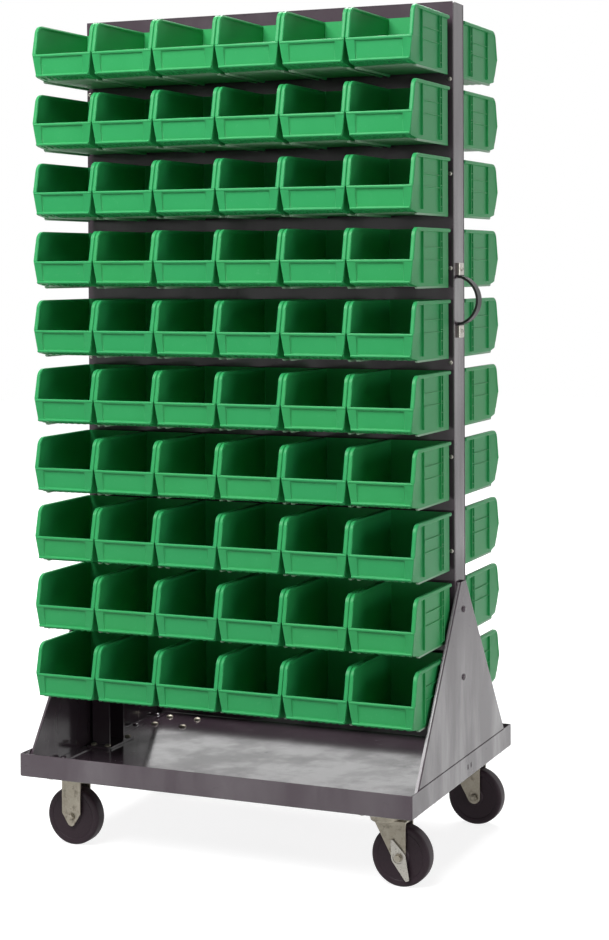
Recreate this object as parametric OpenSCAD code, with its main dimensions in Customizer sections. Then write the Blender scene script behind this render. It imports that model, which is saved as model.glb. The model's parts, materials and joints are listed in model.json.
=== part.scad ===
// Mobile louvered bin rack: a caster tray carries two uprights with a louvered
// panel on each side, and every pressed tongue row holds hang-and-stack bins.
// Millimetres, +Z up, front of the rack towards -Y, origin on the floor under
// the middle of the tray.

/* [Rack] */
// Length of the base tray along X
rack_len = 914.4; // [800:0.1:1000]
// Depth of the base tray along Y
rack_dep = 635; // [560:0.5:720]
// Height from the floor to the top of the panels
rack_h = 1828.8; // [1780:0.1:1900]
// Gap left between two bolted sheet parts
sheet_gap = 0.2; // [0.1:0.05:0.4]
// Radial clearance of a bolt or screw in its hole
hole_gap = 0.25; // [0.1:0.05:0.5]
// Radial clearance of a turning part on its pin
run_gap = 0.05; // [0.02:0.01:0.1]
// Side clearance between parts that move past each other
side_gap = 0.35; // [0.3:0.05:0.8]

/* [Base tray] */
// Sheet thickness of the tray
tray_sheet = 2; // [1.5:0.1:3]
// Outside height of the tray's upturned lips
tray_lip = 50; // [40:1:60]
// Height of the two slots in each end lip and the gusset behind it
lip_slot_h = 12; // [8:1:16]
// Width of the two slots in each end lip
lip_slot_w = 5; // [3:0.5:8]
// Distance of the first slot from the lip's middle
lip_slot_first = 18; // [10:1:40]
// Distance between the two slots in each end lip
lip_slot_pitch = 20; // [14:1:40]

/* [Uprights] */
// Distance from the tray's end to the upright's outer face
post_inset = 10; // [8:0.5:16]
// Width of the upright's flanges along X
post_w = 48; // [40:1:60]
// Sheet thickness of the upright
post_sheet = 2.5; // [2:0.1:3.5]
// Outside depth of the upright along Y
post_dep = 65; // [56:1:74]
// Radius of the web's top corners
post_corner_r = 10; // [4:1:16]
// Length of the foot plate along X
foot_len = 64; // [56:1:76]
// Depth of the foot plate along Y
foot_dep = 120; // [110:1:140]
// Thickness of the foot plate
foot_t = 5; // [4:0.5:8]
// Distance between the foot bolts along X
foot_bolt_x = 36; // [30:1:44]
// Distance between the foot bolts along Y
foot_bolt_y = 92; // [88:1:100]
// Shank diameter of the frame bolts
frame_bolt_d = 8; // [6:0.5:10]

/* [End gussets] */
// Sheet thickness of the gusset
gusset_sheet = 2; // [1.5:0.1:3]
// Height of the gusset's apex above the floor
gusset_top = 590; // [500:5:680]
// Half depth of the gusset at the apex
gusset_apex = 17; // [14:1:24]
// Half depth of the gusset at the deck
gusset_base = 306; // [280:1:308]
// Width of the flange that lies on the deck
gusset_foot = 26; // [24:1:32]
// Inset of the inner deck bolts from the middle
gusset_bolt_in = 163; // [120:1:200]
// Inset of the outer deck bolts from the middle
gusset_bolt_out = 270; // [240:1:280]
// Height of the lower bolt into the upright
web_bolt_low = 384; // [340:1:400]
// Height of the upper bolt into the upright
web_bolt_high = 530; // [480:1:540]

/* [Louvered panels] */
// Sheet thickness of the panel
panel_sheet = 1.5; // [1.2:0.1:2]
// Height of the plain sheet under the lowest tongues
panel_skirt = 20; // [12:1:40]
// Rise of a tongue from its root to its tip
tongue_rise = 16; // [14:0.5:18]
// Angle of a tongue from the vertical
tongue_lean = 35; // [32:1:40]
// Width of a tongue
tongue_w = 110; // [100:1:120]
// Height of the window behind a tongue
window_h = 20; // [18:0.5:24]
// Distance of the panel screws from the panel's edge
screw_inset = 7; // [6:0.5:10]
// Distance from the panel's top to the first screw
screw_drop = 165; // [150:1:180]
// Height of the lowest panel screw above the floor
screw_low = 457.8; // [430:0.1:490]
// Number of panel screws in a column
screw_count = 7; // [5:1:7]
// Shank diameter of the panel screws
screw_d = 5; // [4:0.5:6]
// Head diameter of the panel screws
screw_head_d = 9.5; // [8:0.5:11]
// Head height of the panel screws
screw_head_h = 2.6; // [2:0.1:3.5]
// Depth of the top cap's turned-down flanges
cap_flange = 18; // [12:1:24]

/* [Bins] */
// Number of bin rows on each side
bin_rows = 10; // [10:1:10]
// Number of bins in a row
bin_cols = 6; // [6:1:6]
// Height of the lowest row's underside above the floor
row_low = 316.7; // [300:0.1:330]
// Gap between neighbouring bins
bin_gap = 2; // [1:0.1:4]
// Distance of a row's end bins from the panel's edge
bin_margin = 1.8; // [1:0.1:10]
// Height of a bin
bin_h = 125.2; // [118:0.1:130]
// Depth of a bin from its back wall to its lip
bin_dep = 223.4; // [200:0.1:232]
// Drop from the rack's top to the top row's underside
bin_drop = 156.7; // [150:0.1:162]
// Wall thickness of a bin
bin_wall = 2.5; // [2:0.1:3]
// Front wall thickness of a bin
bin_front_t = 5; // [4.5:0.1:6]
// Height of the lip above the bin's underside
lip_h = 60.2; // [50:0.1:68]
// How far the open front edge leans back at the top
lip_lean = 15; // [10:1:28]
// How far the front wall leans back at its foot
front_lean = 3.5; // [2:0.5:10]
// Height of the chamfer under the front wall
chamfer_h = 10.7; // [9:0.1:18]
// Depth of the chamfer under the front wall
chamfer_dep = 38; // [24:1:46]
// Radius of the open front edge's top corner
bin_corner_r = 22; // [6:1:26]
// Height of the rim round the open edges
rim_h = 8; // [6:0.5:10]
// How far the rim stands out from the side wall
rim_out = 5; // [4:0.5:6]
// Depth of the recessed label panel
label_dep = 2.2; // [1.5:0.1:2.5]
// Distance of the label panel from the bin's side
label_inset = 20; // [16:1:26]
// Distance of the label panel from the front wall's foot and lip
label_edge = 6; // [4:0.5:8]
// Height of the runners under the side walls
runner_h = 4; // [3:0.5:5]
// Width of a runner
runner_w = 6; // [5:0.5:8]
// Width of the hanger hook
hook_w = 100; // [90:1:108]
// Thickness of the hanger hook
hook_t = 3; // [2.5:0.1:3.5]
// Drop of the hook's bridge below the bin's rim
hook_drop = 6.4; // [5:0.1:8]
// Distance of the hook's leg from the panel
hook_back = 2; // [1.5:0.1:2.5]

/* [Handle] */
// Height of the handle's middle above the floor
handle_z = 1193; // [1150:1:1230]
// Clear length between the handle's feet
handle_span = 108; // [100:1:130]
// Reach of the handle from the upright
handle_reach = 47; // [40:0.5:54]
// Width of the handle strap
strap_w = 25; // [20:0.5:30]
// Thickness of the handle strap
strap_t = 5; // [4:0.5:6]
// Length of a handle foot
handle_foot = 26; // [24:1:34]
// Sheet thickness of the end caps
end_cap_t = 1.5; // [1:0.1:2]
// Head diameter of the handle screws
handle_screw_head_d = 10; // [8:0.5:12]

/* [Casters] */
// Wheel diameter
wheel_d = 127; // [115:0.5:140]
// Tread width of a wheel
wheel_w = 32; // [28:0.5:36]
// Length of the bush between the fork legs
bush_len = 38; // [37:0.5:44]
// Outside diameter of the bush
bush_d = 16; // [14:0.5:18]
// Diameter of the wheel axle
axle_d = 10; // [8:0.5:11]
// Distance of the casters from the tray's ends
caster_inset_x = 89; // [86:1:110]
// Distance of the casters from the tray's front and rear
caster_inset_y = 86.5; // [84:0.5:110]
// Length of a caster plate along X
plate_len = 102; // [98:1:110]
// Length of a caster plate along Y
plate_dep = 114; // [108:1:120]
// Thickness of a caster plate
plate_t = 6; // [5:0.5:8]
// Distance between the plate bolts, both ways
plate_bolt_pitch = 76; // [74:0.5:78]
// Shank diameter of the caster bolts
caster_bolt_d = 9.5; // [8:0.5:10]
// Gap between the wheel's tread and the fork's crown
tread_gap = 4.5; // [4:0.5:8]
// Thickness of the fork's crown
crown_t = 5; // [4:0.5:7]
// Thickness of a fork leg
leg_t = 4; // [3:0.5:5]
// Width of a rigid fork's leg
leg_w = 46; // [42:1:52]
// Thickness of the race on the swivel fork
lower_race_t = 4.5; // [4:0.5:6]
// Thickness of the race under the top plate
upper_race_t = 7; // [6:0.5:9]
// Radius of the ball circle
ball_circle_r = 28; // [27:0.5:30]
// Diameter of a ball
ball_d = 6; // [5:0.5:7]
// Number of balls
ball_count = 18; // [12:1:22]
// Diameter of the kingpin
kingpin_d = 12; // [10:0.5:14]
// Distance from the kingpin to the trailing wheel's axle
caster_trail = 35; // [32:1:40]
// Half width of a swivel leg at the axle
swivel_tip_r = 14.5; // [13:0.5:17]
// Reach of a swivel leg in front of the axle at its top
swivel_reach = 56; // [50:1:62]

/* [Brake levers] */
// Thickness of a brake lever
lever_t = 3.2; // [2.5:0.1:4]
// Radius of the lever's hub
lever_hub_r = 16; // [14:0.5:18]
// Length of the lever's pedal arm
lever_arm = 50; // [44:1:56]
// Length of the lever's short tab
lever_tab = 39; // [32:1:42]
// Angle of the pedal arm from the vertical
lever_lean = 23; // [10:1:40]
// Width of the pedal arm's tip
lever_tip_w = 10; // [8:0.5:14]

/* [Hidden] */
$fn = 48;
steel = [0.40, 0.38, 0.40];
zinc = [0.66, 0.64, 0.56];
plated = [0.80, 0.80, 0.78];
green = [0.24, 0.66, 0.40];
black = [0.09, 0.09, 0.09];
tread = [0.20, 0.17, 0.18];

// Small allowance that carries a cut past a face
past = 1;
// Share of a round end's radius at which a straight side runs into it
tuck = 0.95;

// Caster heights, from the floor up
wheel_r = wheel_d / 2;
axle_z = wheel_r;
ball_play = 0.1;
crown_z = wheel_d + tread_gap;
lower_race_z = crown_z + crown_t;
ball_z = lower_race_z + lower_race_t + ball_play + ball_d / 2;
upper_race_z = ball_z + ball_d / 2 + ball_play;
plate_z = upper_race_z + upper_race_t;
caster_h = plate_z + plate_t;
leg_taper_z = axle_z + leg_w / 6;
leg_tip_r = leg_w / 5;
leg_tip_z = axle_z - leg_w / 4;
lever_room = lever_t + 2 * side_gap;
caster_x = rack_len / 2 - caster_inset_x;
caster_y = rack_dep / 2 - caster_inset_y;

// Tray and frame planes
deck_z = caster_h + tray_sheet;
lip_z = caster_h + tray_lip;
lip_mid_z = caster_h + tray_lip / 2;
lip_in_x = rack_len / 2 - tray_sheet;
lip_in_y = rack_dep / 2 - tray_sheet;
post_x = rack_len / 2 - post_inset;
post_mid_x = post_x - post_w / 2;
post_y = post_dep / 2;
panel_y = post_y + panel_sheet;
panel_len = 2 * post_x;
gusset_x = lip_in_x - sheet_gap;
foot_mid_x = post_x - sheet_gap - foot_len / 2;

// Head and nut sizes as shares of the shank's diameter
head_d_share = 1.9;
head_h_share = 0.55;
hex_d_share = 1.7;
hex_h_share = 0.6;
nut_share = 0.8;

// Tongue section, in outward distance and height above the root
tongue_out = tongue_rise * tan(tongue_lean);
tongue_tip_out = tongue_out + panel_sheet * cos(tongue_lean);
tongue_tip_drop = panel_sheet * sin(tongue_lean);
tongue_foot = panel_sheet / sin(tongue_lean);

// Bin section, in outward distance from the panel's face and height
bin_w = (panel_len - 2 * bin_margin - (bin_cols - 1) * bin_gap) / bin_cols;
col_pitch = bin_w + bin_gap;
bin_back = tongue_tip_out + side_gap;
bin_lip = bin_back + bin_dep;
bin_top_front = bin_lip - lip_lean;
bin_foot_front = bin_lip - front_lean;
bin_floor = runner_h + bin_wall;
body_w = bin_w - 2 * rim_out;
hook_top = bin_h - hook_drop;
hook_under = hook_top - hook_t;
tip_in_bin = hook_under - side_gap;
hook_leg_out = hook_back + hook_t;
hook_leg_rise = (side_gap + hook_leg_out * cos(tongue_lean)) / sin(tongue_lean);
hook_leg_low = tip_in_bin - tongue_rise + hook_leg_rise;
row1_z = rack_h - bin_drop;
row_pitch = (row1_z - row_low) / (bin_rows - 1);
louver_pitch = row_pitch / 2;
louver_rows = 2 * bin_rows;
root1_z = row1_z + tip_in_bin - tongue_rise;
panel_low = root1_z - (louver_rows - 1) * louver_pitch - panel_skirt;
screw_pitch = (rack_h - screw_drop - screw_low) / (screw_count - 1);

function row_z(row) = row1_z - (row - 1) * row_pitch;
function col_x(col) = (col - (bin_cols - 1) / 2) * col_pitch;
function root_z(k) = root1_z - k * louver_pitch;
function screw_z(k) = rack_h - screw_drop - k * screw_pitch;

// Points of a round corner between two edges that leave p towards a and b
function unit(v) = v / norm(v);
function round_corner(p, a, b, r, n) =
    let (ua = unit(a - p), ub = unit(b - p))
    let (half = acos(ua * ub) / 2)
    let (mid = p + unit(ua + ub) * r / sin(half))
    let (start = p + ua * r / tan(half) - mid)
    let (turn = 180 - 2 * half)
    let (way = ua[0] * ub[1] - ua[1] * ub[0] > 0 ? -1 : 1)
    [for (i = [0 : n])
        let (t = way * turn * i / n)
        mid + [start[0] * cos(t) - start[1] * sin(t), start[0] * sin(t) + start[1] * cos(t)]];

// Point just inside a circle of radius r round the origin where the line from p runs into it
function run_into(p, r, side) =
    let (a = atan2(p[1], p[0]) + side * acos(tuck * r / norm(p)))
    tuck * r * [cos(a), sin(a)];

// Helpers

// Extrudes a section drawn in (Y, Z) over width w, centred on X = 0
module across(w) {
    rotate([90, 0, 90]) translate([0, 0, -w / 2]) linear_extrude(w) children();
}

// Extrudes a section drawn in (X, Z) over depth d, centred on Y = 0
module deep(d) {
    rotate([90, 0, 0]) translate([0, 0, -d / 2]) linear_extrude(d) children();
}

// A box given by its lowest and highest corners
module block(low, high) {
    translate(low) cube(high - low);
}

module hex_prism(d, h) {
    cylinder(d = d, h = h, $fn = 6);
}

module four_ways(x, y) {
    for (sx = [-1, 1], sy = [-1, 1]) translate([sx * x, sy * y, 0]) children();
}

// Bolt with its head's underside at z = 0 and its shank downwards, with its nut
module bolt_and_nut(d, grip) {
    nut_h = nut_share * d;
    cylinder(d = head_d_share * d, h = head_h_share * d);
    translate([0, 0, -grip - nut_h]) cylinder(d = d, h = grip + nut_h);
    translate([0, 0, -grip - nut_h]) difference() {
        hex_prism(head_d_share * d, nut_h);
        translate([0, 0, -past]) cylinder(d = d, h = nut_h + 2 * past);
    }
}

// Base tray

module caster_bolt_places() {
    four_ways(caster_x, caster_y) four_ways(plate_bolt_pitch / 2, plate_bolt_pitch / 2) children();
}

module foot_bolt_places() {
    for (s = [-1, 1]) translate([s * foot_mid_x, 0, 0])
        four_ways(foot_bolt_x / 2, foot_bolt_y / 2) children();
}

module gusset_bolt_places() {
    for (y = [gusset_bolt_in, gusset_bolt_out])
        four_ways(gusset_x - gusset_foot / 2, y) children();
}

module base_tray() {
    color(steel) difference() {
        block([-rack_len / 2, -rack_dep / 2, caster_h], [rack_len / 2, rack_dep / 2, deck_z]);
        translate([0, 0, caster_h - past]) {
            caster_bolt_places() cylinder(r = caster_bolt_d / 2 + hole_gap, h = tray_sheet + 2 * past);
            foot_bolt_places() cylinder(r = frame_bolt_d / 2 + hole_gap, h = tray_sheet + 2 * past);
            gusset_bolt_places() cylinder(r = frame_bolt_d / 2 + hole_gap, h = tray_sheet + 2 * past);
        }
    }
}

// Slots through a sheet whose middle is at x
module lip_slots(x, sheet) {
    for (k = [0, 1])
        translate([x, lip_slot_first + k * lip_slot_pitch, lip_mid_z])
            cube([sheet + 2 * past, lip_slot_w, lip_slot_h], center = true);
}

// The tray's upturned lips, parted from the deck at the bend and from each other at the corner seams
module tray_lips() {
    color(steel) for (s = [-1, 1]) {
        translate([0, s * (lip_in_y + tray_sheet / 2), (deck_z + lip_z) / 2])
            cube([rack_len, tray_sheet, lip_z - deck_z], center = true);
        difference() {
            translate([s * (lip_in_x + tray_sheet / 2), 0, (deck_z + lip_z) / 2])
                cube([tray_sheet, 2 * (lip_in_y - sheet_gap), lip_z - deck_z], center = true);
            lip_slots(s * (lip_in_x + tray_sheet / 2), tray_sheet);
        }
    }
}

// End gussets, drawn at the right end

module gusset_outline() {
    polygon([
        [-gusset_base, deck_z], [gusset_base, deck_z],
        [gusset_apex, gusset_top], [-gusset_apex, gusset_top]
    ]);
}

module end_gusset() {
    fold = gusset_x - post_x - sheet_gap;
    slant = [gusset_base - gusset_apex, gusset_top - deck_z];
    skin = gusset_sheet * norm(slant) / slant[1];
    difference() {
        union() {
            translate([gusset_x - gusset_sheet / 2, 0, 0]) across(gusset_sheet) gusset_outline();
            for (s = [-1, 1])
                translate([gusset_x - fold / 2, 0, 0]) across(fold)
                    polygon([
                        [s * gusset_base, deck_z], [s * (gusset_base - skin), deck_z],
                        [s * (gusset_apex - skin), gusset_top], [s * gusset_apex, gusset_top]
                    ]);
            for (m = [0, 1]) mirror([0, m, 0])
                block([gusset_x - gusset_foot, foot_dep / 2 + side_gap, deck_z],
                      [gusset_x, gusset_base, deck_z + gusset_sheet]);
        }
        translate([0, 0, deck_z - past]) gusset_bolt_places()
            cylinder(r = frame_bolt_d / 2 + hole_gap, h = gusset_sheet + 2 * past);
        web_bolt_places() translate([0, 0, -past])
            cylinder(r = frame_bolt_d / 2 + hole_gap, h = gusset_sheet + 2 * past);
        lip_slots(gusset_x - gusset_sheet / 2, gusset_sheet);
    }
}

// Bolt places through the right gusset and web, from the gusset's inner face outwards
module web_bolt_places() {
    for (z = [web_bolt_low, web_bolt_high])
        translate([gusset_x - gusset_sheet, 0, z]) rotate([0, 90, 0]) children();
}

module left_end_gusset() { color(steel) mirror([1, 0, 0]) end_gusset(); }
module right_end_gusset() { color(steel) end_gusset(); }

module gusset_bolts() {
    spacer = gusset_x - gusset_sheet - post_x;
    color(steel) {
        translate([0, 0, deck_z + gusset_sheet]) gusset_bolt_places()
            bolt_and_nut(frame_bolt_d, gusset_sheet + tray_sheet);
        for (m = [0, 1]) mirror([m, 0, 0]) web_bolt_places() {
            translate([0, 0, gusset_sheet])
                bolt_and_nut(frame_bolt_d, gusset_sheet + spacer + post_sheet);
            translate([0, 0, -spacer]) difference() {
                cylinder(d = head_d_share * frame_bolt_d, h = spacer);
                translate([0, 0, -past]) cylinder(r = frame_bolt_d / 2 + hole_gap, h = spacer + 2 * past);
            }
        }
    }
}

// Uprights, drawn at the right end

module panel_screw_places() {
    for (sx = [-1, 1], k = [0 : screw_count - 1])
        translate([sx * (post_x - screw_inset), 0, screw_z(k)]) children();
}

module upright() {
    top = rack_h;
    low = deck_z + foot_t;
    difference() {
        union() {
            translate([post_mid_x, 0, 0]) difference() {
                translate([-post_w / 2, -post_y, low]) cube([post_w, post_dep, top - low]);
                translate([-post_w / 2 - past, -post_y + post_sheet, low - past])
                    cube([post_w - post_sheet + past, post_dep - 2 * post_sheet, top - low + 2 * past]);
            }
            block([foot_mid_x - foot_len / 2, -foot_dep / 2, deck_z],
                  [foot_mid_x + foot_len / 2, foot_dep / 2, low]);
        }
        for (s = [-1, 1])
            translate([post_x - post_sheet / 2, s * (post_y - post_corner_r), top - post_corner_r])
                rotate([0, 90, 0]) difference() {
                    translate([-post_corner_r - past, s > 0 ? 0 : -post_corner_r - past, -post_sheet])
                        cube([post_corner_r + past, post_corner_r + past, 2 * post_sheet]);
                    cylinder(r = post_corner_r, h = 5 * post_sheet, center = true);
                }
        translate([0, 0, deck_z - past]) foot_bolt_places()
            cylinder(r = frame_bolt_d / 2 + hole_gap, h = foot_t + 2 * past);
        panel_screw_places() rotate([90, 0, 0])
            cylinder(r = screw_d / 2 + hole_gap, h = post_dep + 2 * past, center = true);
        for (z = [web_bolt_low, web_bolt_high])
            translate([post_x - post_sheet / 2, 0, z]) rotate([0, 90, 0])
                cylinder(r = frame_bolt_d / 2 + hole_gap, h = post_sheet + 2 * past, center = true);
        handle_screw_places() translate([0, 0, -post_sheet - past])
            cylinder(r = screw_d / 2 + hole_gap, h = post_sheet + 2 * past);
    }
}

module left_upright() { color(steel) mirror([1, 0, 0]) upright(); }
module right_upright() { color(steel) upright(); }

module foot_bolts() {
    color(plated) translate([0, 0, deck_z + foot_t]) foot_bolt_places()
        bolt_and_nut(frame_bolt_d, foot_t + tray_sheet);
}

// Louvered panels, drawn at the front

module tongue_section(k) {
    polygon([
        [panel_sheet, root_z(k) - tongue_foot - past], [0, root_z(k) - tongue_foot - past],
        [0, root_z(k) - tongue_foot],
        [-tongue_tip_out, root_z(k) + tongue_rise - tongue_tip_drop],
        [-tongue_out, root_z(k) + tongue_rise],
        [panel_sheet, root_z(k) - panel_sheet / tan(tongue_lean)]
    ]);
}

module window_section(k) {
    translate([-past, root_z(k) - tongue_foot]) square([panel_sheet + 2 * past, window_h + tongue_foot]);
}

module louver_panel() {
    translate([0, -panel_y, 0]) {
        difference() {
            block([-panel_len / 2, 0, panel_low], [panel_len / 2, panel_sheet, rack_h]);
            for (col = [0 : bin_cols - 1]) translate([col_x(col), 0, 0])
                across(tongue_w) for (k = [0 : louver_rows - 1]) window_section(k);
            panel_screw_places() rotate([90, 0, 0])
                cylinder(r = screw_d / 2 + hole_gap, h = 4 * panel_sheet, center = true);
        }
        for (col = [0 : bin_cols - 1]) translate([col_x(col), 0, 0])
            across(tongue_w) for (k = [0 : louver_rows - 1]) tongue_section(k);
    }
}

module front_louver_panel() { color(steel) louver_panel(); }
module rear_louver_panel() { color(steel) rotate([0, 0, 180]) louver_panel(); }

module panel_screws() {
    grip = panel_sheet + post_sheet;
    color(plated) for (turn = [0, 180]) rotate([0, 0, turn]) panel_screw_places()
        translate([0, -panel_y, 0]) rotate([90, 0, 0]) {
            cylinder(d = screw_head_d, h = screw_head_h);
            translate([0, 0, -grip - screw_d]) cylinder(d = screw_d, h = grip + screw_d);
        }
}

module top_cap() {
    half = post_x - post_w - side_gap;
    color(steel) difference() {
        block([-half, -post_y, rack_h - cap_flange], [half, post_y, rack_h]);
        block([-half - past, -post_y + panel_sheet, rack_h - cap_flange - past],
              [half + past, post_y - panel_sheet, rack_h - panel_sheet]);
    }
}

// Handle on the right upright

function handle_mid_z(s) = handle_z + s * (handle_span + handle_foot) / 2;

// Screw places from the upright's outer face outwards
module handle_screw_places() {
    for (s = [-1, 1])
        translate([post_x, 0, handle_mid_z(s)]) rotate([0, 90, 0]) children();
}

module handle_strap() {
    sag = handle_reach;
    half = handle_span / 2;
    bow_r = (half * half + sag * sag) / (2 * sag);
    bow_x = post_x + sag - bow_r;
    color(black) difference() {
        union() {
            intersection() {
                translate([bow_x, 0, handle_z]) rotate([90, 0, 0]) difference() {
                    cylinder(r = bow_r, h = strap_w, center = true);
                    cylinder(r = bow_r - strap_t, h = strap_w + 2 * past, center = true);
                }
                block([post_x, -strap_w, handle_z - handle_span],
                      [post_x + sag + past, strap_w, handle_z + handle_span]);
            }
            for (s = [-1, 1])
                translate([post_x + strap_t / 2, 0, handle_mid_z(s) - s * strap_t / 4])
                    cube([strap_t, strap_w, handle_foot + strap_t / 2], center = true);
        }
        handle_screw_places() translate([0, 0, -past])
            cylinder(r = screw_d / 2 + hole_gap, h = strap_t + 2 * past);
    }
}

module handle_end_caps() {
    wide = strap_w + 2 * (sheet_gap + end_cap_t);
    color(plated) for (s = [-1, 1]) translate([post_x, 0, handle_mid_z(s)]) difference() {
        block([0, -wide / 2, -handle_foot / 2],
              [strap_t + sheet_gap + end_cap_t, wide / 2, handle_foot / 2]);
        block([-past, -wide / 2 + end_cap_t, -handle_foot / 2 - past],
              [strap_t + sheet_gap, wide / 2 - end_cap_t, handle_foot / 2 + past]);
        rotate([0, 90, 0]) cylinder(r = screw_d / 2 + hole_gap, h = 3 * strap_t);
    }
}

module handle_screws() {
    seat = strap_t + sheet_gap + end_cap_t;
    grip = seat + post_sheet;
    color(plated) handle_screw_places() translate([0, 0, seat]) {
        cylinder(d = handle_screw_head_d, h = screw_head_h);
        translate([0, 0, -grip - screw_d]) cylinder(d = screw_d, h = grip + screw_d);
    }
}

// Casters, drawn round their own plate's middle at the front

module caster_bolts() {
    color(plated) translate([0, 0, deck_z]) caster_bolt_places()
        bolt_and_nut(caster_bolt_d, tray_sheet + plate_t);
}

module caster_plate() {
    difference() {
        translate([-plate_len / 2, -plate_dep / 2, plate_z]) cube([plate_len, plate_dep, plate_t]);
        translate([0, 0, plate_z - past]) four_ways(plate_bolt_pitch / 2, plate_bolt_pitch / 2)
            cylinder(r = caster_bolt_d / 2 + hole_gap, h = plate_t + 2 * past);
    }
}

module axle_hole() {
    translate([0, 0, axle_z]) rotate([90, 0, 0])
        cylinder(r = axle_d / 2 + run_gap, h = bush_len + 4 * leg_t, center = true);
}

// The two legs of a fork, from a section drawn in (X, Z)
module fork_legs() {
    for (s = [-1, 1]) translate([0, s * (bush_len + leg_t) / 2, 0]) deep(leg_t) children();
}

module rigid_leg_section() {
    half = leg_w / 2;
    t = run_into([half, leg_taper_z - leg_tip_z], leg_tip_r, -1);
    translate([0, leg_tip_z]) circle(r = leg_tip_r);
    polygon([
        [half, plate_z], [half, leg_taper_z], [t[0], t[1] + leg_tip_z],
        [-t[0], t[1] + leg_tip_z], [-half, leg_taper_z], [-half, plate_z]
    ]);
}

module rigid_fork() {
    difference() {
        union() {
            caster_plate();
            fork_legs() rigid_leg_section();
        }
        axle_hole();
    }
}

module swivel_leg_section() {
    top = lower_race_z - axle_z;
    t = run_into([-swivel_reach, top], swivel_tip_r, 1);
    translate([caster_trail, axle_z]) {
        polygon([[swivel_tip_r, 0], [swivel_tip_r, top], [-swivel_reach, top], t, [0, 0]]);
        circle(r = swivel_tip_r);
    }
}

module swivel_fork() {
    crown_r = ball_circle_r + ball_d;
    fork_dep = bush_len + 2 * leg_t;
    difference() {
        union() {
            block([caster_trail - swivel_reach, -fork_dep / 2, crown_z],
                  [caster_trail + swivel_tip_r, fork_dep / 2, lower_race_z]);
            translate([0, 0, crown_z]) cylinder(r = crown_r, h = crown_t + lower_race_t);
            fork_legs() swivel_leg_section();
        }
        trailing() axle_hole();
        translate([0, 0, crown_z - past])
            cylinder(r = kingpin_d / 2 + run_gap, h = crown_t + lower_race_t + 2 * past);
    }
}

module swivel_plate() {
    skirt_in = ball_circle_r + ball_d + side_gap;
    skirt_out = skirt_in + leg_t / 2;
    head_h = plate_t / 2;
    difference() {
        union() {
            caster_plate();
            translate([0, 0, upper_race_z]) cylinder(r = skirt_out, h = upper_race_t);
            translate([0, 0, lower_race_z + lower_race_t / 2])
                cylinder(r = skirt_out, h = ball_d + upper_race_t);
        }
        translate([0, 0, lower_race_z]) cylinder(r = skirt_in, h = upper_race_z - lower_race_z);
        translate([0, 0, plate_z - upper_race_t - past])
            cylinder(d = kingpin_d, h = plate_t + upper_race_t + 2 * past);
        translate([0, 0, caster_h - head_h]) cylinder(d = hex_d_share * kingpin_d, h = head_h + past);
    }
}

module swivel_balls() {
    for (k = [0 : ball_count - 1]) rotate([0, 0, k * 360 / ball_count])
        translate([ball_circle_r, 0, ball_z]) sphere(d = ball_d);
}

module swivel_kingpin() {
    nut_h = hex_h_share * kingpin_d;
    head_h = plate_t / 2;
    low = crown_z - side_gap - nut_h;
    translate([0, 0, low]) cylinder(d = kingpin_d, h = caster_h - low);
    translate([0, 0, caster_h - head_h]) cylinder(d = hex_d_share * kingpin_d, h = head_h);
    translate([0, 0, low]) difference() {
        hex_prism(hex_d_share * kingpin_d, nut_h);
        translate([0, 0, -past]) cylinder(d = kingpin_d, h = nut_h + 2 * past);
    }
}

module wheel() {
    hub_half = bush_len / 2 - side_gap;
    half = wheel_w / 2;
    edge = wheel_w / 8;
    nip = 0.3 * edge;
    bore = bush_d / 2 + run_gap;
    hub_r = 0.3 * wheel_r;
    translate([0, 0, axle_z]) rotate([90, 0, 0]) rotate_extrude($fn = 96)
        polygon([
            [bore, -hub_half], [hub_r, -hub_half], [hub_r, -half], [wheel_r - edge, -half],
            [wheel_r - nip, -half + nip], [wheel_r, -half + edge],
            [wheel_r, half - edge], [wheel_r - nip, half - nip],
            [wheel_r - edge, half], [hub_r, half], [hub_r, hub_half], [bore, hub_half]
        ]);
}

module bush() {
    translate([0, 0, axle_z]) rotate([90, 0, 0]) difference() {
        cylinder(d = bush_d, h = bush_len, center = true);
        cylinder(r = axle_d / 2 + run_gap, h = bush_len + 2 * past, center = true);
    }
}

// Axle bolt with its head towards -Y, past anything of thickness extra on that leg
module axle(extra) {
    head_y = bush_len / 2 + leg_t + extra;
    nut_h = nut_share * axle_d;
    far = bush_len / 2 + leg_t;
    translate([0, 0, axle_z]) rotate([90, 0, 0]) {
        translate([0, 0, -far - nut_h]) cylinder(d = axle_d, h = far + nut_h + head_y);
        translate([0, 0, head_y]) hex_prism(hex_d_share * axle_d, hex_h_share * axle_d);
        translate([0, 0, -far - nut_h]) difference() {
            hex_prism(hex_d_share * axle_d, nut_h);
            translate([0, 0, -past]) cylinder(d = axle_d, h = nut_h + 2 * past);
        }
    }
}

module lever_section() {
    tip = lever_tip_w / 2;
    arm = [tip, -lever_arm];
    root_low = run_into(arm, lever_hub_r, 1);
    tab = [tip / 2, lever_tab];
    root_high = run_into(tab, lever_hub_r, -1);
    rotate(lever_lean) {
        circle(r = lever_hub_r);
        polygon([
            [0, 0], [-root_low[0], root_low[1]], [-tip, -lever_arm], [tip, -lever_arm], root_low
        ]);
        polygon([
            [0, 0], root_high, [tip / 2, lever_tab], [-tip / 2, lever_tab], [-root_high[0], root_high[1]]
        ]);
    }
}

module brake_lever() {
    inner_y = bush_len / 2 + leg_t + side_gap;
    translate([caster_trail, -inner_y - lever_t / 2, axle_z]) difference() {
        deep(lever_t) lever_section();
        rotate([90, 0, 0]) cylinder(r = axle_d / 2 + run_gap, h = lever_t + 2 * past, center = true);
    }
}

// Places a caster part drawn at the front at its corner; rear ones are mirrored
module at_caster(end, rear) {
    translate([end * caster_x, 0, 0]) mirror([0, rear, 0]) translate([0, -caster_y, 0]) children();
}

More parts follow.
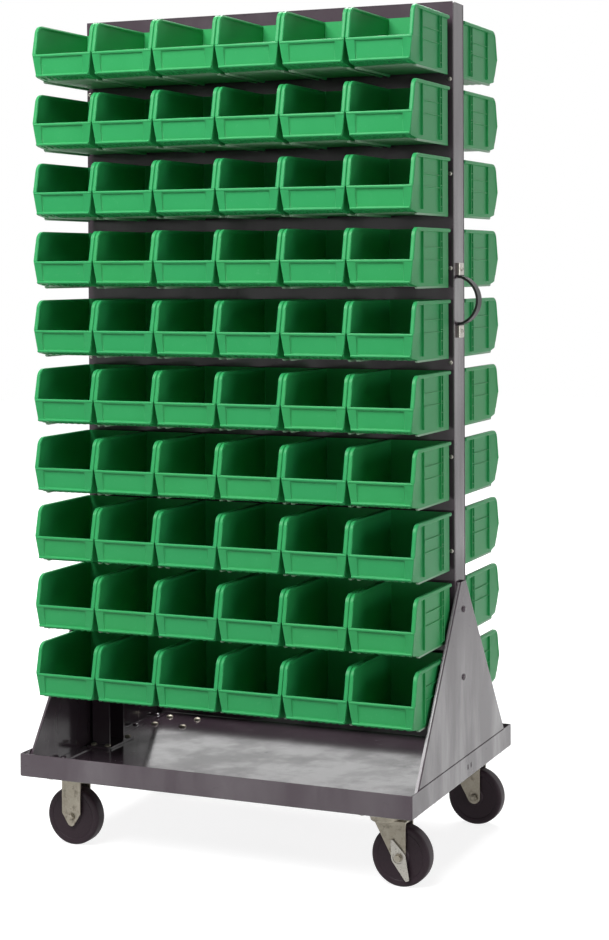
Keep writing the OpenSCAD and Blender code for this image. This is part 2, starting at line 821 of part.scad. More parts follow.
// Moves a part back from the kingpin to the trailing wheel
module trailing() {
    translate([caster_trail, 0, 0]) children();
}

module rigid_fork_front() { color(zinc) at_caster(-1, 0) rigid_fork(); }
module rigid_wheel_front() { color(tread) at_caster(-1, 0) wheel(); }
module rigid_bush_front() { color(plated) at_caster(-1, 0) bush(); }
module rigid_axle_front() { color(plated) at_caster(-1, 0) axle(0); }
module rigid_fork_rear() { color(zinc) at_caster(-1, 1) rigid_fork(); }
module rigid_wheel_rear() { color(tread) at_caster(-1, 1) wheel(); }
module rigid_bush_rear() { color(plated) at_caster(-1, 1) bush(); }
module rigid_axle_rear() { color(plated) at_caster(-1, 1) axle(0); }

module swivel_plate_front() { color(zinc) at_caster(1, 0) swivel_plate(); }
module swivel_balls_front() { color(plated) at_caster(1, 0) swivel_balls(); }
module swivel_kingpin_front() { color(plated) at_caster(1, 0) swivel_kingpin(); }
module swivel_fork_front() { color(zinc) at_caster(1, 0) swivel_fork(); }
module swivel_wheel_front() { color(tread) at_caster(1, 0) trailing() wheel(); }
module swivel_bush_front() { color(plated) at_caster(1, 0) trailing() bush(); }
module swivel_axle_front() { color(plated) at_caster(1, 0) trailing() axle(lever_room); }
module brake_lever_front() { color(zinc) at_caster(1, 0) brake_lever(); }
module swivel_plate_rear() { color(zinc) at_caster(1, 1) swivel_plate(); }
module swivel_balls_rear() { color(plated) at_caster(1, 1) swivel_balls(); }
module swivel_kingpin_rear() { color(plated) at_caster(1, 1) swivel_kingpin(); }
module swivel_fork_rear() { color(zinc) at_caster(1, 1) swivel_fork(); }
module swivel_wheel_rear() { color(tread) at_caster(1, 1) trailing() wheel(); }
module swivel_bush_rear() { color(plated) at_caster(1, 1) trailing() bush(); }
module swivel_axle_rear() { color(plated) at_caster(1, 1) trailing() axle(lever_room); }
module brake_lever_rear() { color(zinc) at_caster(1, 1) brake_lever(); }

// Bins, drawn with the panel's face at Y = 0, the front towards -Y and the underside at z = 0

// Turns (outward, height) points into (Y, Z) points
function out_points(points) = [for (p = points) [-p[0], p[1]]];

bin_front_corner = round_corner(
    [bin_top_front, bin_h], [bin_lip, lip_h], [bin_back, bin_h], bin_corner_r, 4);

module bin_side_section() {
    polygon(out_points(concat(
        [[bin_back, runner_h], [bin_foot_front - chamfer_dep, runner_h],
         [bin_foot_front, chamfer_h], [bin_lip, lip_h]],
        bin_front_corner,
        [[bin_back, bin_h]]
    )));
}

module bin_rim_section() {
    polygon(out_points(concat(
        [[bin_lip, lip_h]],
        bin_front_corner,
        [[bin_back, bin_h], [bin_back, bin_h - rim_h],
         [bin_top_front - rim_h, bin_h - rim_h], [bin_lip - rim_h, lip_h]]
    )));
}

module bin_cavity_section() {
    polygon(out_points([
        [bin_back + bin_wall, bin_floor], [bin_foot_front - chamfer_dep, bin_floor],
        [bin_foot_front - bin_front_t, chamfer_h + bin_wall], [bin_lip - bin_front_t, lip_h],
        [bin_lip + rim_h, lip_h], [bin_lip + rim_h, bin_h + rim_h], [bin_back + bin_wall, bin_h + rim_h]
    ]));
}

module bin_front_section() {
    polygon(out_points([
        [bin_foot_front - bin_front_t, chamfer_h], [bin_foot_front, chamfer_h],
        [bin_lip, lip_h], [bin_lip - rim_h, lip_h]
    ]));
}

module bin_label_section() {
    slope = front_lean / (lip_h - chamfer_h);
    low = chamfer_h + label_edge;
    high = lip_h - label_edge;
    polygon(out_points([
        [bin_foot_front + slope * label_edge - label_dep, low], [bin_lip + past, low],
        [bin_lip + past, high], [bin_lip - slope * label_edge - label_dep, high]
    ]));
}

module bin_hook_section() {
    polygon(out_points([
        [hook_back, hook_leg_low], [hook_leg_out, hook_leg_low], [hook_leg_out, hook_under],
        [bin_back + bin_wall / 2, hook_under], [bin_back + bin_wall / 2, hook_top],
        [hook_back, hook_top]
    ]));
}

module bin() {
    difference() {
        union() {
            across(body_w) bin_side_section();
            across(bin_w) bin_rim_section();
            intersection() {
                across(bin_w) bin_front_section();
                deep(4 * bin_lip) polygon([
                    [-body_w / 2, chamfer_h], [body_w / 2, chamfer_h],
                    [bin_w / 2, lip_h], [-bin_w / 2, lip_h]
                ]);
            }
            for (s = [-1, 1])
                block([s * (body_w - runner_w) / 2 - runner_w / 2, -bin_foot_front + chamfer_dep, 0],
                      [s * (body_w - runner_w) / 2 + runner_w / 2, -bin_back, runner_h + bin_wall]);
            across(hook_w) bin_hook_section();
        }
        across(body_w - 2 * bin_wall) bin_cavity_section();
        across(bin_w - 2 * label_inset) bin_label_section();
    }
}

module front_bins(row) {
    color(green) for (col = [0 : bin_cols - 1])
        translate([col_x(col), -panel_y, row_z(row)]) bin();
}

module rear_bins(row) {
    rotate([0, 0, 180]) front_bins(row);
}

base_tray();
tray_lips();
left_end_gusset();
right_end_gusset();
left_upright();
right_upright();
front_louver_panel();
rear_louver_panel();
top_cap();
panel_screws();
foot_bolts();
gusset_bolts();
caster_bolts();
handle_strap();
handle_end_caps();
handle_screws();
rigid_fork_front();
rigid_wheel_front();
rigid_bush_front();
rigid_axle_front();
rigid_fork_rear();
rigid_wheel_rear();
rigid_bush_rear();
rigid_axle_rear();
swivel_plate_front();
swivel_balls_front();
swivel_kingpin_front();
swivel_fork_front();
swivel_wheel_front();
swivel_bush_front();
swivel_axle_front();
brake_lever_front();
swivel_plate_rear();
swivel_balls_rear();
swivel_kingpin_rear();
swivel_fork_rear();
swivel_wheel_rear();
swivel_bush_rear();
swivel_axle_rear();
brake_lever_rear();
front_bins(1);  // front_bins_row_01
front_bins(2);  // front_bins_row_02
front_bins(3);  // front_bins_row_03
front_bins(4);  // front_bins_row_04
front_bins(5);  // front_bins_row_05
front_bins(6);  // front_bins_row_06
front_bins(7);  // front_bins_row_07
front_bins(8);  // front_bins_row_08
front_bins(9);  // front_bins_row_09
front_bins(10);  // front_bins_row_10
rear_bins(1);  // rear_bins_row_01
rear_bins(2);  // rear_bins_row_02
rear_bins(3);  // rear_bins_row_03
rear_bins(4);  // rear_bins_row_04
rear_bins(5);  // rear_bins_row_05
rear_bins(6);  // rear_bins_row_06
rear_bins(7);  // rear_bins_row_07
rear_bins(8);  // rear_bins_row_08
rear_bins(9);  // rear_bins_row_09
rear_bins(10);  // rear_bins_row_10
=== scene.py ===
import json
import math

import bmesh
import bpy
from mathutils import Matrix, Vector

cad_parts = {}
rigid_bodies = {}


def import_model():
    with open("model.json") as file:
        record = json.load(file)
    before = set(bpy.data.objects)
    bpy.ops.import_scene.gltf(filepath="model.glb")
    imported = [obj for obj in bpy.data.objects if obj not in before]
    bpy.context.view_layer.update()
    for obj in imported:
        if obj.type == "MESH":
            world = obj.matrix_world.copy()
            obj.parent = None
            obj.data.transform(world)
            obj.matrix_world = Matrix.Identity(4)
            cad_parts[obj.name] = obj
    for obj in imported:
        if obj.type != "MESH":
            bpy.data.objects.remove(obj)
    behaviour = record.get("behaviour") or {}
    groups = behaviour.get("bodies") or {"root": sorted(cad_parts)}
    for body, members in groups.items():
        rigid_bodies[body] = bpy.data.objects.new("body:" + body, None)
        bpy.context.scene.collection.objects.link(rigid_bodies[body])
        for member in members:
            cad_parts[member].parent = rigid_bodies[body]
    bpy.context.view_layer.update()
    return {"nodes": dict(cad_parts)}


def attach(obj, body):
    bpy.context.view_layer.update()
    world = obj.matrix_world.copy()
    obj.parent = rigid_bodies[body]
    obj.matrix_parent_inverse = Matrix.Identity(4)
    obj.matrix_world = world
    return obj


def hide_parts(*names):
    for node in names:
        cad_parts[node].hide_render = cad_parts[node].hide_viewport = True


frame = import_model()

scene = bpy.context.scene
scene.view_settings.view_transform = "Standard"

# Sizes in millimetres, the same as the solids have
MM = 0.001
RACK_TOP = 1828.8
TRAY_X, TRAY_Y, TRAY_SHEET = 457.2, 317.5, 2.0
TRAY_LOW, DECK, LIP_TOP = 160.2, 162.2, 210.2
POST_X, POST_Y, POST_W, POST_SHEET = 447.2, 32.5, 48.0, 2.5
FOOT_X, FOOT_LEN, FOOT_DEP, FOOT_T = 415.0, 64.0, 120.0, 5.0
GUSSET_X, GUSSET_TOP, GUSSET_APEX, GUSSET_BASE, GUSSET_SHEET = 455.0, 590.0, 17.0, 306.0, 2.0
PANEL_Y, PANEL_SHEET, PANEL_SKIRT = 34.0, 1.5, 20.0
TONGUE_RISE, TONGUE_LEAN, TONGUE_W, WINDOW_H = 16.0, math.radians(35), 110.0, 20.0
COL_PITCH, ROW_PITCH, ROW_1, COLUMNS, ROWS = 148.8, 150.6, 1672.1, 6, 10
BIN_W, BODY_W, BIN_H, WALL, LIP_H = 146.8, 136.8, 125.2, 2.5, 60.2
BIN_BACK, BIN_LIP = 12.782, 236.182
BIN_TOP_FRONT, BIN_FOOT = BIN_LIP - 15, BIN_LIP - 3.5
RUNNER_H, FLOOR_TOP, CHAMFER_H, CHAMFER_DEP = 4.0, 6.5, 10.7, 38.0
RIM_H, RIM_OUT, FRONT_TAPER = 8.0, 5.0, 7.0
BIN_RIB, BIN_CORNER = BIN_LIP - 64, 22.0
HOOK_TOP, HOOK_UNDER, HOOK_GAP = BIN_H - 6.4, BIN_H - 9.4, 0.35
CASTER_X, CASTER_Y, TRAIL, AXLE_Z = 368.2, 231.0, 35.0, 63.5
PLATE_Z, PLATE_T, CROWN_Z, RACE_Z, RACE_TOP = 154.2, 6.0, 131.5, 136.5, 141.0
BUSH_HALF, LEG_T, WHEEL_R, WHEEL_HALF = 19.0, 4.0, 63.5, 16.0
LEVER_T, LEVER_GAP = 3.2, 0.35
HANDLE_Z, HANDLE_HALF, HANDLE_REACH, HANDLE_FOOT = 1193.0, 54.0, 47.0, 26.0
STRAP_W, STRAP_T, CAP_SEAT, CAP_SHEET = 25.0, 5.0, 6.7, 1.5
FRAME_BOLT, CASTER_BOLT = 8.0, 9.5
FOOT_BOLT_AT, PLATE_BOLT_AT = (18, 46), 38
GUSSET_BOLT_IN, GUSSET_BOLT_Y, WEB_BOLT_Z = 13, (163, 270), (384, 530)
SCREW_X, SCREW_DROP, SCREW_PITCH, SCREW_COUNT = 440.2, 165, 201, 7
SHEET_BEND, DECK_BEND, POST_BEND, CAP_BEND = 2.6, 4.0, 4.0, 3.0
LEFT_OR_RIGHT = {-1: "left", 1: "right"}


# Node trees

class Nodes:
    """A node tree that grows by one node at a time."""

    def __init__(self, tree):
        self.tree = tree

    @staticmethod
    def pick(sockets, key):
        if isinstance(key, int):
            return sockets[key]
        return next(s for s in sockets if s.name == key and s.enabled)

    def add(self, kind, sockets=None, out=0, **settings):
        node = self.tree.nodes.new(kind)
        for key, value in settings.items():
            setattr(node, key, value)
        for key, value in (sockets or {}).items():
            if isinstance(value, Wire):
                self.tree.links.new(value.socket, self.pick(node.inputs, key))
            else:
                self.pick(node.inputs, key).default_value = value
        return Wire(self, self.pick(node.outputs, out)) if node.outputs else None


class Wire:
    """An output of a tree. Arithmetic on wires adds Math nodes."""

    def __init__(self, nodes, socket):
        self.nodes, self.socket = nodes, socket

    def maths(self, operation, first, second):
        return self.nodes.add("ShaderNodeMath", {0: first, 1: second}, operation=operation)

    def __add__(self, other):
        return self.maths("ADD", self, other)

    def __sub__(self, other):
        return self.maths("SUBTRACT", self, other)

    def __rsub__(self, other):
        return self.maths("SUBTRACT", other, self)

    def __mul__(self, other):
        return self.maths("MULTIPLY", self, other)

    __radd__, __rmul__ = __add__, __mul__


class Finish(Nodes):
    """A material, from the patterns that vary it to its shader."""

    def __init__(self, name):
        self.material = bpy.data.materials.new(name)
        self.material.use_nodes = True
        super().__init__(self.material.node_tree)
        self.tree.nodes.clear()
        self.place = self.add("ShaderNodeTexCoord", out="Object")

    def noise(self, scale, detail=3.0, rough=0.5, stretch=(1, 1, 1)):
        turned = self.add("ShaderNodeMapping", {"Vector": self.place, "Scale": stretch})
        return self.add("ShaderNodeTexNoise",
                        {"Vector": turned, "Scale": scale, "Detail": detail, "Roughness": rough})

    def above(self, value, low, high):
        """0 under low, 1 over high and a smooth rise between them."""
        return self.add("ShaderNodeMapRange", {"Value": value, "From Min": low, "From Max": high},
                        interpolation_type="SMOOTHSTEP")

    def layers(self, factor, first, second, *over):
        """Colour from first to second by a factor, under a share of each further tint."""
        colour = rgb(*first)
        for share, tint in ((factor, second), *over):
            colour = self.add("ShaderNodeMix", {"Factor": share, "A": colour, "B": rgb(*tint)}, "Result",
                              data_type="RGBA")
        return colour

    def shade(self, colour, roughness, grain, grain_depth, **constants):
        bump = self.add("ShaderNodeBump", {"Height": grain, "Strength": 0.6, "Distance": grain_depth * MM})
        sockets = {"Base Color": colour, "Roughness": roughness, "Normal": bump}
        sockets.update({key.replace("_", " "): value for key, value in constants.items()})
        body = self.add("ShaderNodeBsdfPrincipled", sockets)
        self.add("ShaderNodeOutputMaterial", {"Surface": body})
        return self.material


def rgb(red, green, blue):
    """Linear colour of a colour written in 0 to 255 display values."""
    return (*[((v / 255 + 0.055) / 1.055) ** 2.4 if v > 10 else v / 3295 for v in (red, green, blue)], 1)


# Finishes

def charcoal_paint():
    """Baked charcoal paint with orange peel, smudges, rub marks and wiped streaks; dull at tips and tops."""
    f = Finish("charcoal_paint")
    height = f.add("ShaderNodeSeparateXYZ", {"Vector": f.place}, "Z")
    gusset_tip, over_gusset, post_top = (f.above(height, low, high)
                                         for low, high in ((0.28, 0.56), (0.60, 0.68), (1.2, 1.7)))
    dull = gusset_tip - 0.8 * over_gusset + 0.6 * post_top
    cloud = f.noise(5.0, 4.0, 0.55)
    wiped = f.above(f.noise(9.0, 4.0, 0.6, (1, 1, 0.22)), 0.36, 0.66)
    smudge = f.above(f.noise(11.0, 5.0, 0.6, (1, 1, 0.6)), 0.52, 0.75)
    peel = f.noise(620.0, 2.0)
    rub = f.above(f.noise(70.0, 3.0, 0.6, (0.6, 1, 2)), 0.67, 0.72)
    colour = f.layers(cloud, (70, 57, 66), (82, 69, 78),
                      (smudge * 0.35, (100, 91, 97)), (rub * 0.45, (44, 36, 42)))
    rough = 0.13 + 0.08 * cloud + 0.10 * smudge + 0.10 * rub
    coat = (0.35 + 0.65 * wiped) * (1 - 0.85 * dull) - 0.2 * rub
    return f.shade(colour, rough, peel, 0.05, IOR=1.4, Coat_Weight=coat, Coat_Roughness=0.12, Coat_IOR=1.7)


def pressed_zinc():
    """Yellowish zinc on pressed steel and bolts, dulled in patches."""
    f = Finish("pressed_zinc")
    patch = f.noise(34.0, 5.0, 0.6)
    spangle = f.add("ShaderNodeTexVoronoi", {"Vector": f.place, "Scale": 260.0}, "Color")
    grey = f.add("ShaderNodeRGBToBW", {"Color": spangle})
    dull = f.above(f.noise(70.0, 4.0, 0.6), 0.5, 0.72)
    colour = f.layers(patch, (124, 116, 102), (182, 175, 160),
                      (grey * 0.22, (200, 195, 182)), (dull * 0.55, (88, 79, 68)))
    rough = 0.34 + 0.16 * dull + 0.08 * patch
    return f.shade(colour, rough, f.noise(900.0, 2.0), 0.03, Metallic=0.75)


def bright_plate():
    """Bright zinc on screws, brake levers and end caps, with fine turning marks."""
    f = Finish("bright_plate")
    mark = f.noise(240.0, 3.0, 0.6)
    stain = f.above(f.noise(120.0, 4.0, 0.6), 0.55, 0.75)
    colour = f.layers(mark, (166, 162, 154), (202, 198, 190), (stain * 0.5, (134, 127, 114)))
    return f.shade(colour, 0.22 + 0.14 * mark + 0.12 * stain, mark, 0.02, Metallic=0.85)


def green_plastic():
    """Satin moulded polypropylene; each bin has its own tone, and the front ends of its runners are pale from
    scuff wear and a painted highlight.
    """
    f = Finish("green_plastic")
    flow = f.noise(16.0, 3.0, 0.5, (1, 1, 0.5))
    grain = f.noise(1300.0, 2.0)
    tone, scuff = (f.add("ShaderNodeAttribute", out="Fac", attribute_name=name) for name in ("tone", "scuff"))
    scratch = f.above(f.noise(140.0, 4.0, 0.65, (1, 0.12, 1)), 0.6, 0.72)
    # Near-white tint on the runners' front ends: partly scuff wear, partly a painted highlight where the ends
    # catch the light.
    colour = f.layers(flow, (44, 154, 84), (56, 168, 98), (tone * 0.7, (46, 158, 94)),
                      (scratch * 0.12, (120, 200, 150)), (scuff * 0.85, (188, 206, 190)))
    rough = 0.36 + 0.10 * flow + 0.14 * scratch + 0.15 * scuff
    return f.shade(colour, rough, grain, 0.03, Specular_IOR_Level=0.3)


def wheel_rubber():
    """Hard brown-black wheel compound with dust in its grain."""
    f = Finish("wheel_rubber")
    speck = f.noise(380.0, 3.0, 0.6)
    dust = f.above(f.noise(22.0, 5.0, 0.65), 0.5, 0.8)
    colour = f.layers(speck, (42, 30, 37), (58, 45, 52), (dust * 0.3, (72, 61, 62)))
    return f.shade(colour, 0.42 + 0.2 * dust + 0.06 * speck, speck, 0.12, Specular_IOR_Level=0.25)


def black_vinyl():
    """Matt black vinyl on the handle strap."""
    f = Finish("black_vinyl")
    pebble = f.noise(700.0, 3.0, 0.6)
    worn = f.above(f.noise(40.0, 4.0, 0.6), 0.55, 0.8)
    colour = f.layers(worn * 0.6, (24, 23, 24), (52, 49, 50))
    return f.shade(colour, 0.44 + 0.12 * worn, pebble, 0.1)


PAINT, ZINC, PLATE = charcoal_paint(), pressed_zinc(), bright_plate()
GREEN, RUBBER, VINYL = green_plastic(), wheel_rubber(), black_vinyl()


# Mesh makers; every outline and level is in millimetres

PLANES = {"x": (1, 2, 0), "y": (0, 2, 1), "z": (0, 1, 2)}


def point(axis, a, b, level):
    """Place in metres of (a, b) on the plane that an axis crosses at a level."""
    u, v, w = PLANES[axis]
    place = [0.0, 0.0, 0.0]
    place[u], place[v], place[w] = a * MM, b * MM, level * MM
    return place


def linked(name, data):
    """Object in the scene that holds a mesh, a camera or a light."""
    made = bpy.data.objects.new(name, data)
    scene.collection.objects.link(made)
    return made


def thing(name, bm):
    """Object that holds the finished bmesh."""
    mesh = bpy.data.meshes.new(name)
    bm.to_mesh(mesh)
    bm.free()
    return linked(name, mesh)


def round_over(bm, radius, steps=2, edges=None, sharper=30):
    """Rounds the edges that turn by more than sharper degrees, or the ones given."""
    if edges is None:
        edges = [e for e in bm.edges if e.is_manifold and e.calc_face_angle(0) > math.radians(sharper)]
    bmesh.ops.bevel(bm, geom=edges, offset=radius * MM, segments=steps, profile=0.5,
                    affect="EDGES", clamp_overlap=True)


def face_out(bm):
    bmesh.ops.recalc_face_normals(bm, faces=bm.faces)


def ring(bm, axis, outline, level):
    return [bm.verts.new(point(axis, a, b, level)) for a, b in outline]


def band(bm, first, second):
    """Faces all round between two rings."""
    for i in range(len(first)):
        k = (i + 1) % len(first)
        bm.faces.new((first[i], first[k], second[k], second[i]))


def prism_mesh(outline, low, high, axis, outer=None):
    """Closed prism over an outline; outer gives another outline for the high end."""
    bm = bmesh.new()
    ends = [ring(bm, axis, outline, low), ring(bm, axis, outer or outline, high)]
    for end in ends:
        bm.faces.new(end)
    band(bm, *ends)
    face_out(bm)
    return bm


def prism(name, outline, low, high, axis, radius=0.0, steps=2, outer=None, sharper=30):
    bm = prism_mesh(outline, low, high, axis, outer)
    if radius:
        round_over(bm, radius, steps, sharper=sharper)
    return thing(name, bm)


def span(side, near, far):
    """Two distances from the middle as a low and a high level on one side of it."""
    return sorted((side * near, side * far))


def oblong(a, b, low, high):
    return [(a, low), (b, low), (b, high), (a, high)]


def block(name, low, high, radius=0.0, steps=2):
    return prism(name, oblong(low[0], high[0], low[1], high[1]), low[2], high[2], "z", radius, steps)


def turned(name, profile, steps, closed=False):
    """Profile of (radius, height) turned round Z; a closed profile makes a ring."""
    bm = bmesh.new()
    rings = []
    for radius, height in profile:
        if radius < 1e-6:
            rings.append([bm.verts.new((0, 0, height * MM))] * steps)
        else:
            rings.append(ring(bm, "z", circle(radius, steps), height))
    pairs = list(zip(rings, rings[1:])) + ([(rings[-1], rings[0])] if closed else [])
    for below, above in pairs:
        for i in range(steps):
            k = (i + 1) % steps
            corners = list(dict.fromkeys((below[i], below[k], above[k], above[i])))
            if len(corners) > 2:
                bm.faces.new(corners)
    face_out(bm)
    return thing(name, bm)


def rounded(points, radius, steps=4, closed=False):
    """Line whose corners are replaced by arcs; radius may be a list, one for each corner."""
    points = [Vector(p) for p in points]
    count = len(points)
    made = []
    for i, corner in enumerate(points):
        size = radius[i] if isinstance(radius, (list, tuple)) else radius
        if size < 1e-6 or (not closed and i in (0, count - 1)):
            made.append(tuple(corner))
            continue
        a = (points[i - 1] - corner).normalized()
        b = (points[(i + 1) % count] - corner).normalized()
        half = a.angle(b) / 2
        middle = corner + (a + b).normalized() * (size / math.sin(half))
        start = corner + a * (size / math.tan(half)) - middle
        end = corner + b * (size / math.tan(half)) - middle
        for k in range(steps + 1):
            arm = start.lerp(end, k / steps).normalized() * size
            made.append(tuple(middle + arm))
    return made


def channel(open_end, web, half, sheet, bend):
    """Outline of sheet bent into a web and two flanges, in (towards the web, across)."""
    outer, inner = ([(open_end, t - half), (web - t, t - half), (web - t, half - t), (open_end, half - t)]
                    for t in (0, sheet))
    return rounded(outer, bend) + rounded(inner, max(bend - sheet, 0.3))[::-1]


def rectangle(half_a, half_b, radius, steps=4):
    return rounded(oblong(-half_a, half_a, -half_b, half_b), radius, steps, True)


def circle(radius, steps, centre=(0, 0), start=0.0, sweep=2 * math.pi):
    """Points of a circle, or of an arc with both ends when sweep is less than a turn."""
    parts = steps if abs(sweep - 2 * math.pi) < 1e-6 else steps - 1
    angles = [start + sweep * i / parts for i in range(steps)]
    return [(centre[0] + radius * math.cos(a), centre[1] + radius * math.sin(a)) for a in angles]


def plain(made):
    """Replaces an object's mesh by its evaluated mesh, and removes its modifiers."""
    graph = bpy.context.evaluated_depsgraph_get()
    mesh = bpy.data.meshes.new_from_object(made.evaluated_get(graph), preserve_all_data_layers=True,
                                           depsgraph=graph)
    made.modifiers.clear()
    old, made.data = made.data, mesh
    bpy.data.meshes.remove(old)
    mesh.name = made.name
    return made


def drop(*objects):
    for made in objects:
        mesh = made.data
        bpy.data.objects.remove(made)
        bpy.data.meshes.remove(mesh)


def shell(first, added=(), cut=()):
    """One closed surface: first, less every solid in cut, together with every solid in added."""
    groups = []
    for operation, others in (("DIFFERENCE", cut), ("UNION", added)):
        if others:
            group = bpy.data.collections.new(operation)
            for other in others:
                group.objects.link(other)
            groups.append(group)
            modifier = first.modifiers.new(operation, "BOOLEAN")
            modifier.operation, modifier.solver = operation, "EXACT"
            modifier.operand_type, modifier.collection = "COLLECTION", group
    plain(first)
    for group in groups:
        others = list(group.objects)
        bpy.data.collections.remove(group)
        drop(*others)
    return first


def moved(made, matrix):
    """Moves the mesh of an object and turns its faces out again after a mirror."""
    made.data.transform(matrix)
    if matrix.is_negative:
        made.data.flip_normals()
    return made


def together(name, *objects):
    """One object out of several solids that stand beside each other."""
    bm = bmesh.new()
    for made in objects:
        bm.from_mesh(made.data)
    drop(*objects)
    return thing(name, bm)


def piece(made, body, finish, *nodes, turn=50):
    """Finishes an object as a piece of the rack that rides on a body and stands for nodes."""
    made.data.materials.clear()
    made.data.materials.append(finish)
    made.data.shade_smooth()
    made.data.set_sharp_from_angle(angle=math.radians(turn))
    made.modifiers.new("even_faces", "WEIGHTED_NORMAL").keep_sharp = True
    plain(made)
    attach(made, body)
    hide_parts(*nodes)


def sheet_piece(made, name, *nodes):
    """Finishes an object as painted sheet of the frame."""
    made.name = name
    piece(made, "frame", PAINT, *nodes, turn=40)


# Rules that repeat a shape

class Rule(Nodes):
    """A Geometry Nodes tree with named inputs, the last of them the finish."""

    def __init__(self, name, **inputs):
        super().__init__(bpy.data.node_groups.new(name, "GeometryNodeTree"))
        face = self.tree.interface
        face.new_socket("Geometry", in_out="OUTPUT", socket_type="NodeSocketGeometry")
        for label, kind in {"Geometry": "Geometry", **inputs, "Finish": "Material"}.items():
            face.new_socket(label, in_out="INPUT", socket_type="NodeSocket" + kind)
        entry = self.tree.nodes.new("NodeGroupInput")
        self.given = {s.name: Wire(self, s) for s in entry.outputs if s.name}

    def __getitem__(self, label):
        return self.given[label]

    def repeat(self, points, label, **sockets):
        """The object that is given under a label, on every point."""
        shape = self.add("GeometryNodeObjectInfo", {"Object": self[label]}, "Geometry")
        return self.add("GeometryNodeInstanceOnPoints", {"Points": points, "Instance": shape, **sockets})

    def random(self, high):
        """A value from 0 to high for each repeat, drawn from the given seed."""
        return self.add("FunctionNodeRandomValue", {"Min": 0.0, "Max": high, "Seed": self["Seed"]}, "Value",
                        data_type="FLOAT")

    def end(self, geometry):
        """Ends the tree in plain geometry of one finish, turned to its side of the rack."""
        if "Turn" in self.given:
            geometry = self.add("GeometryNodeTransform", {"Geometry": geometry, "Rotation": self["Turn"]})
        real = self.add("GeometryNodeRealizeInstances", {"Geometry": geometry})
        dressed = self.add("GeometryNodeSetMaterial", {"Geometry": real, "Material": self["Finish"]})
        self.add("NodeGroupOutput", {"Geometry": dressed})
        return self

    def make(self, base, **values):
        """Plain mesh that the tree makes out of an object's mesh."""
        modifier = base.modifiers.new(self.tree.name, "NODES")
        modifier.node_group = self.tree
        for item in self.tree.interface.items_tree:
            if item.item_type == "SOCKET" and item.in_out == "INPUT" and item.name in values:
                modifier[item.identifier] = values[item.name]
        return plain(base)


def bin_row_rule():
    """A row of bins along X, each with a tone of its own."""
    r = Rule("bin_row", Bin="Object", Columns="Int", Pitch="Float", Start="Vector", Turn="Vector", Seed="Int")
    step = r.add("ShaderNodeCombineXYZ", {"X": r["Pitch"]})
    line = r.add("GeometryNodeMeshLine",
                 {"Count": r["Columns"], "Start Location": r["Start"], "Offset": step})
    return r.end(r.add("GeometryNodeStoreNamedAttribute",
                       {"Geometry": r.repeat(line, "Bin"), "Name": "tone", "Value": r.random(1.0)},
                       data_type="FLOAT", domain="INSTANCE"))


def louver_rule():
    """A grid of louvers on the panel's plane, merged and joined with the panel's own edges."""
    r = Rule("louver_grid", Louver="Object", Columns="Int", Rows="Int", Width="Float", Height="Float",
             Centre="Vector", Turn="Vector")
    grid = r.add("GeometryNodeMeshGrid", {"Size X": r["Width"], "Size Y": r["Height"],
                                                "Vertices X": r["Columns"], "Vertices Y": r["Rows"]})
    stood = r.add("GeometryNodeTransform", {"Geometry": grid, "Rotation": (math.pi / 2, 0, 0),
                                                  "Translation": r["Centre"]})
    real = r.add("GeometryNodeRealizeInstances", {"Geometry": r.repeat(stood, "Louver")})
    merged = r.add("GeometryNodeMergeByDistance", {"Geometry": real, "Distance": 0.02 * MM})
    both = r.add("GeometryNodeJoinGeometry")
    for part in (merged, r["Geometry"]):
        r.tree.links.new(part.socket, both.socket.node.inputs[0])
    return r.end(both)


def fastener_rule():
    """A fastener on every point, standing along the point's facing direction."""
    r = Rule("fasteners", Fastener="Object", Seed="Int")
    facing = r.add("GeometryNodeInputNamedAttribute", {"Name": "facing"}, "Attribute",
                   data_type="FLOAT_VECTOR")
    lined = r.add("FunctionNodeAlignRotationToVector", {"Vector": facing}, axis="Z")
    own = r.add("FunctionNodeAxisAngleToRotation", {"Axis": (0, 0, 1), "Angle": r.random(6.283)})
    both = r.add("FunctionNodeRotateRotation", {"Rotation": lined, "Rotate By": own}, rotation_space="LOCAL")
    return r.end(r.repeat(r["Geometry"], "Fastener", Rotation=both))


BIN_ROW, LOUVERS, FASTENERS = bin_row_rule(), louver_rule(), fastener_rule()


def points_object(name, places):
    """Points, each with the direction that a fastener there faces."""
    mesh = bpy.data.meshes.new(name)
    mesh.from_pydata([tuple(v * MM for v in place) for place, _ in places], [], [])
    facing = mesh.attributes.new("facing", "FLOAT_VECTOR", "POINT")
    facing.data.foreach_set("vector", [v for _, way in places for v in way])
    return linked(name, mesh)


# Bins

def bin_side():
    """Bin outline in (outward, height), without its rim, its runners and its front wall's skin."""
    skin = 4.4
    top = rounded([(BIN_LIP, LIP_H), (BIN_TOP_FRONT, BIN_H), (BIN_BACK, BIN_H)], BIN_CORNER, 8)[1:-1]
    return [(-BIN_BACK, RUNNER_H), (-(BIN_FOOT - CHAMFER_DEP), RUNNER_H),
            (-(BIN_FOOT - skin), CHAMFER_H - 0.6), (-(BIN_LIP - skin), LIP_H),
            *[(-o, z) for o, z in top], (-BIN_BACK, BIN_H)]


def bin_rim(side):
    """Rounded rim along the side wall's top and down its open front edge."""
    slope = Vector((BIN_TOP_FRONT - BIN_LIP, BIN_H - LIP_H)).normalized()
    across = Vector((slope.y, -slope.x)) * RIM_H
    lip = Vector((BIN_LIP, LIP_H - 1.5))
    top = Vector((BIN_TOP_FRONT, BIN_H))
    inner_lip = lip - across
    drop_z = BIN_H - RIM_H
    inner_top = inner_lip + slope * ((drop_z - inner_lip.y) / slope.y)
    outer = rounded([tuple(lip), tuple(top), (BIN_BACK, BIN_H)], BIN_CORNER, 8)
    inner = rounded([tuple(inner_lip), tuple(inner_top), (BIN_BACK, drop_z)], BIN_CORNER - RIM_H, 8)
    outline = [(-o, z) for o, z in outer + inner[::-1]]
    low, high = span(side, BODY_W / 2 - WALL - 1.2, BIN_W / 2 + 0.8)
    return prism("rim", outline, low, high, "x", 3.0, 3, sharper=50)


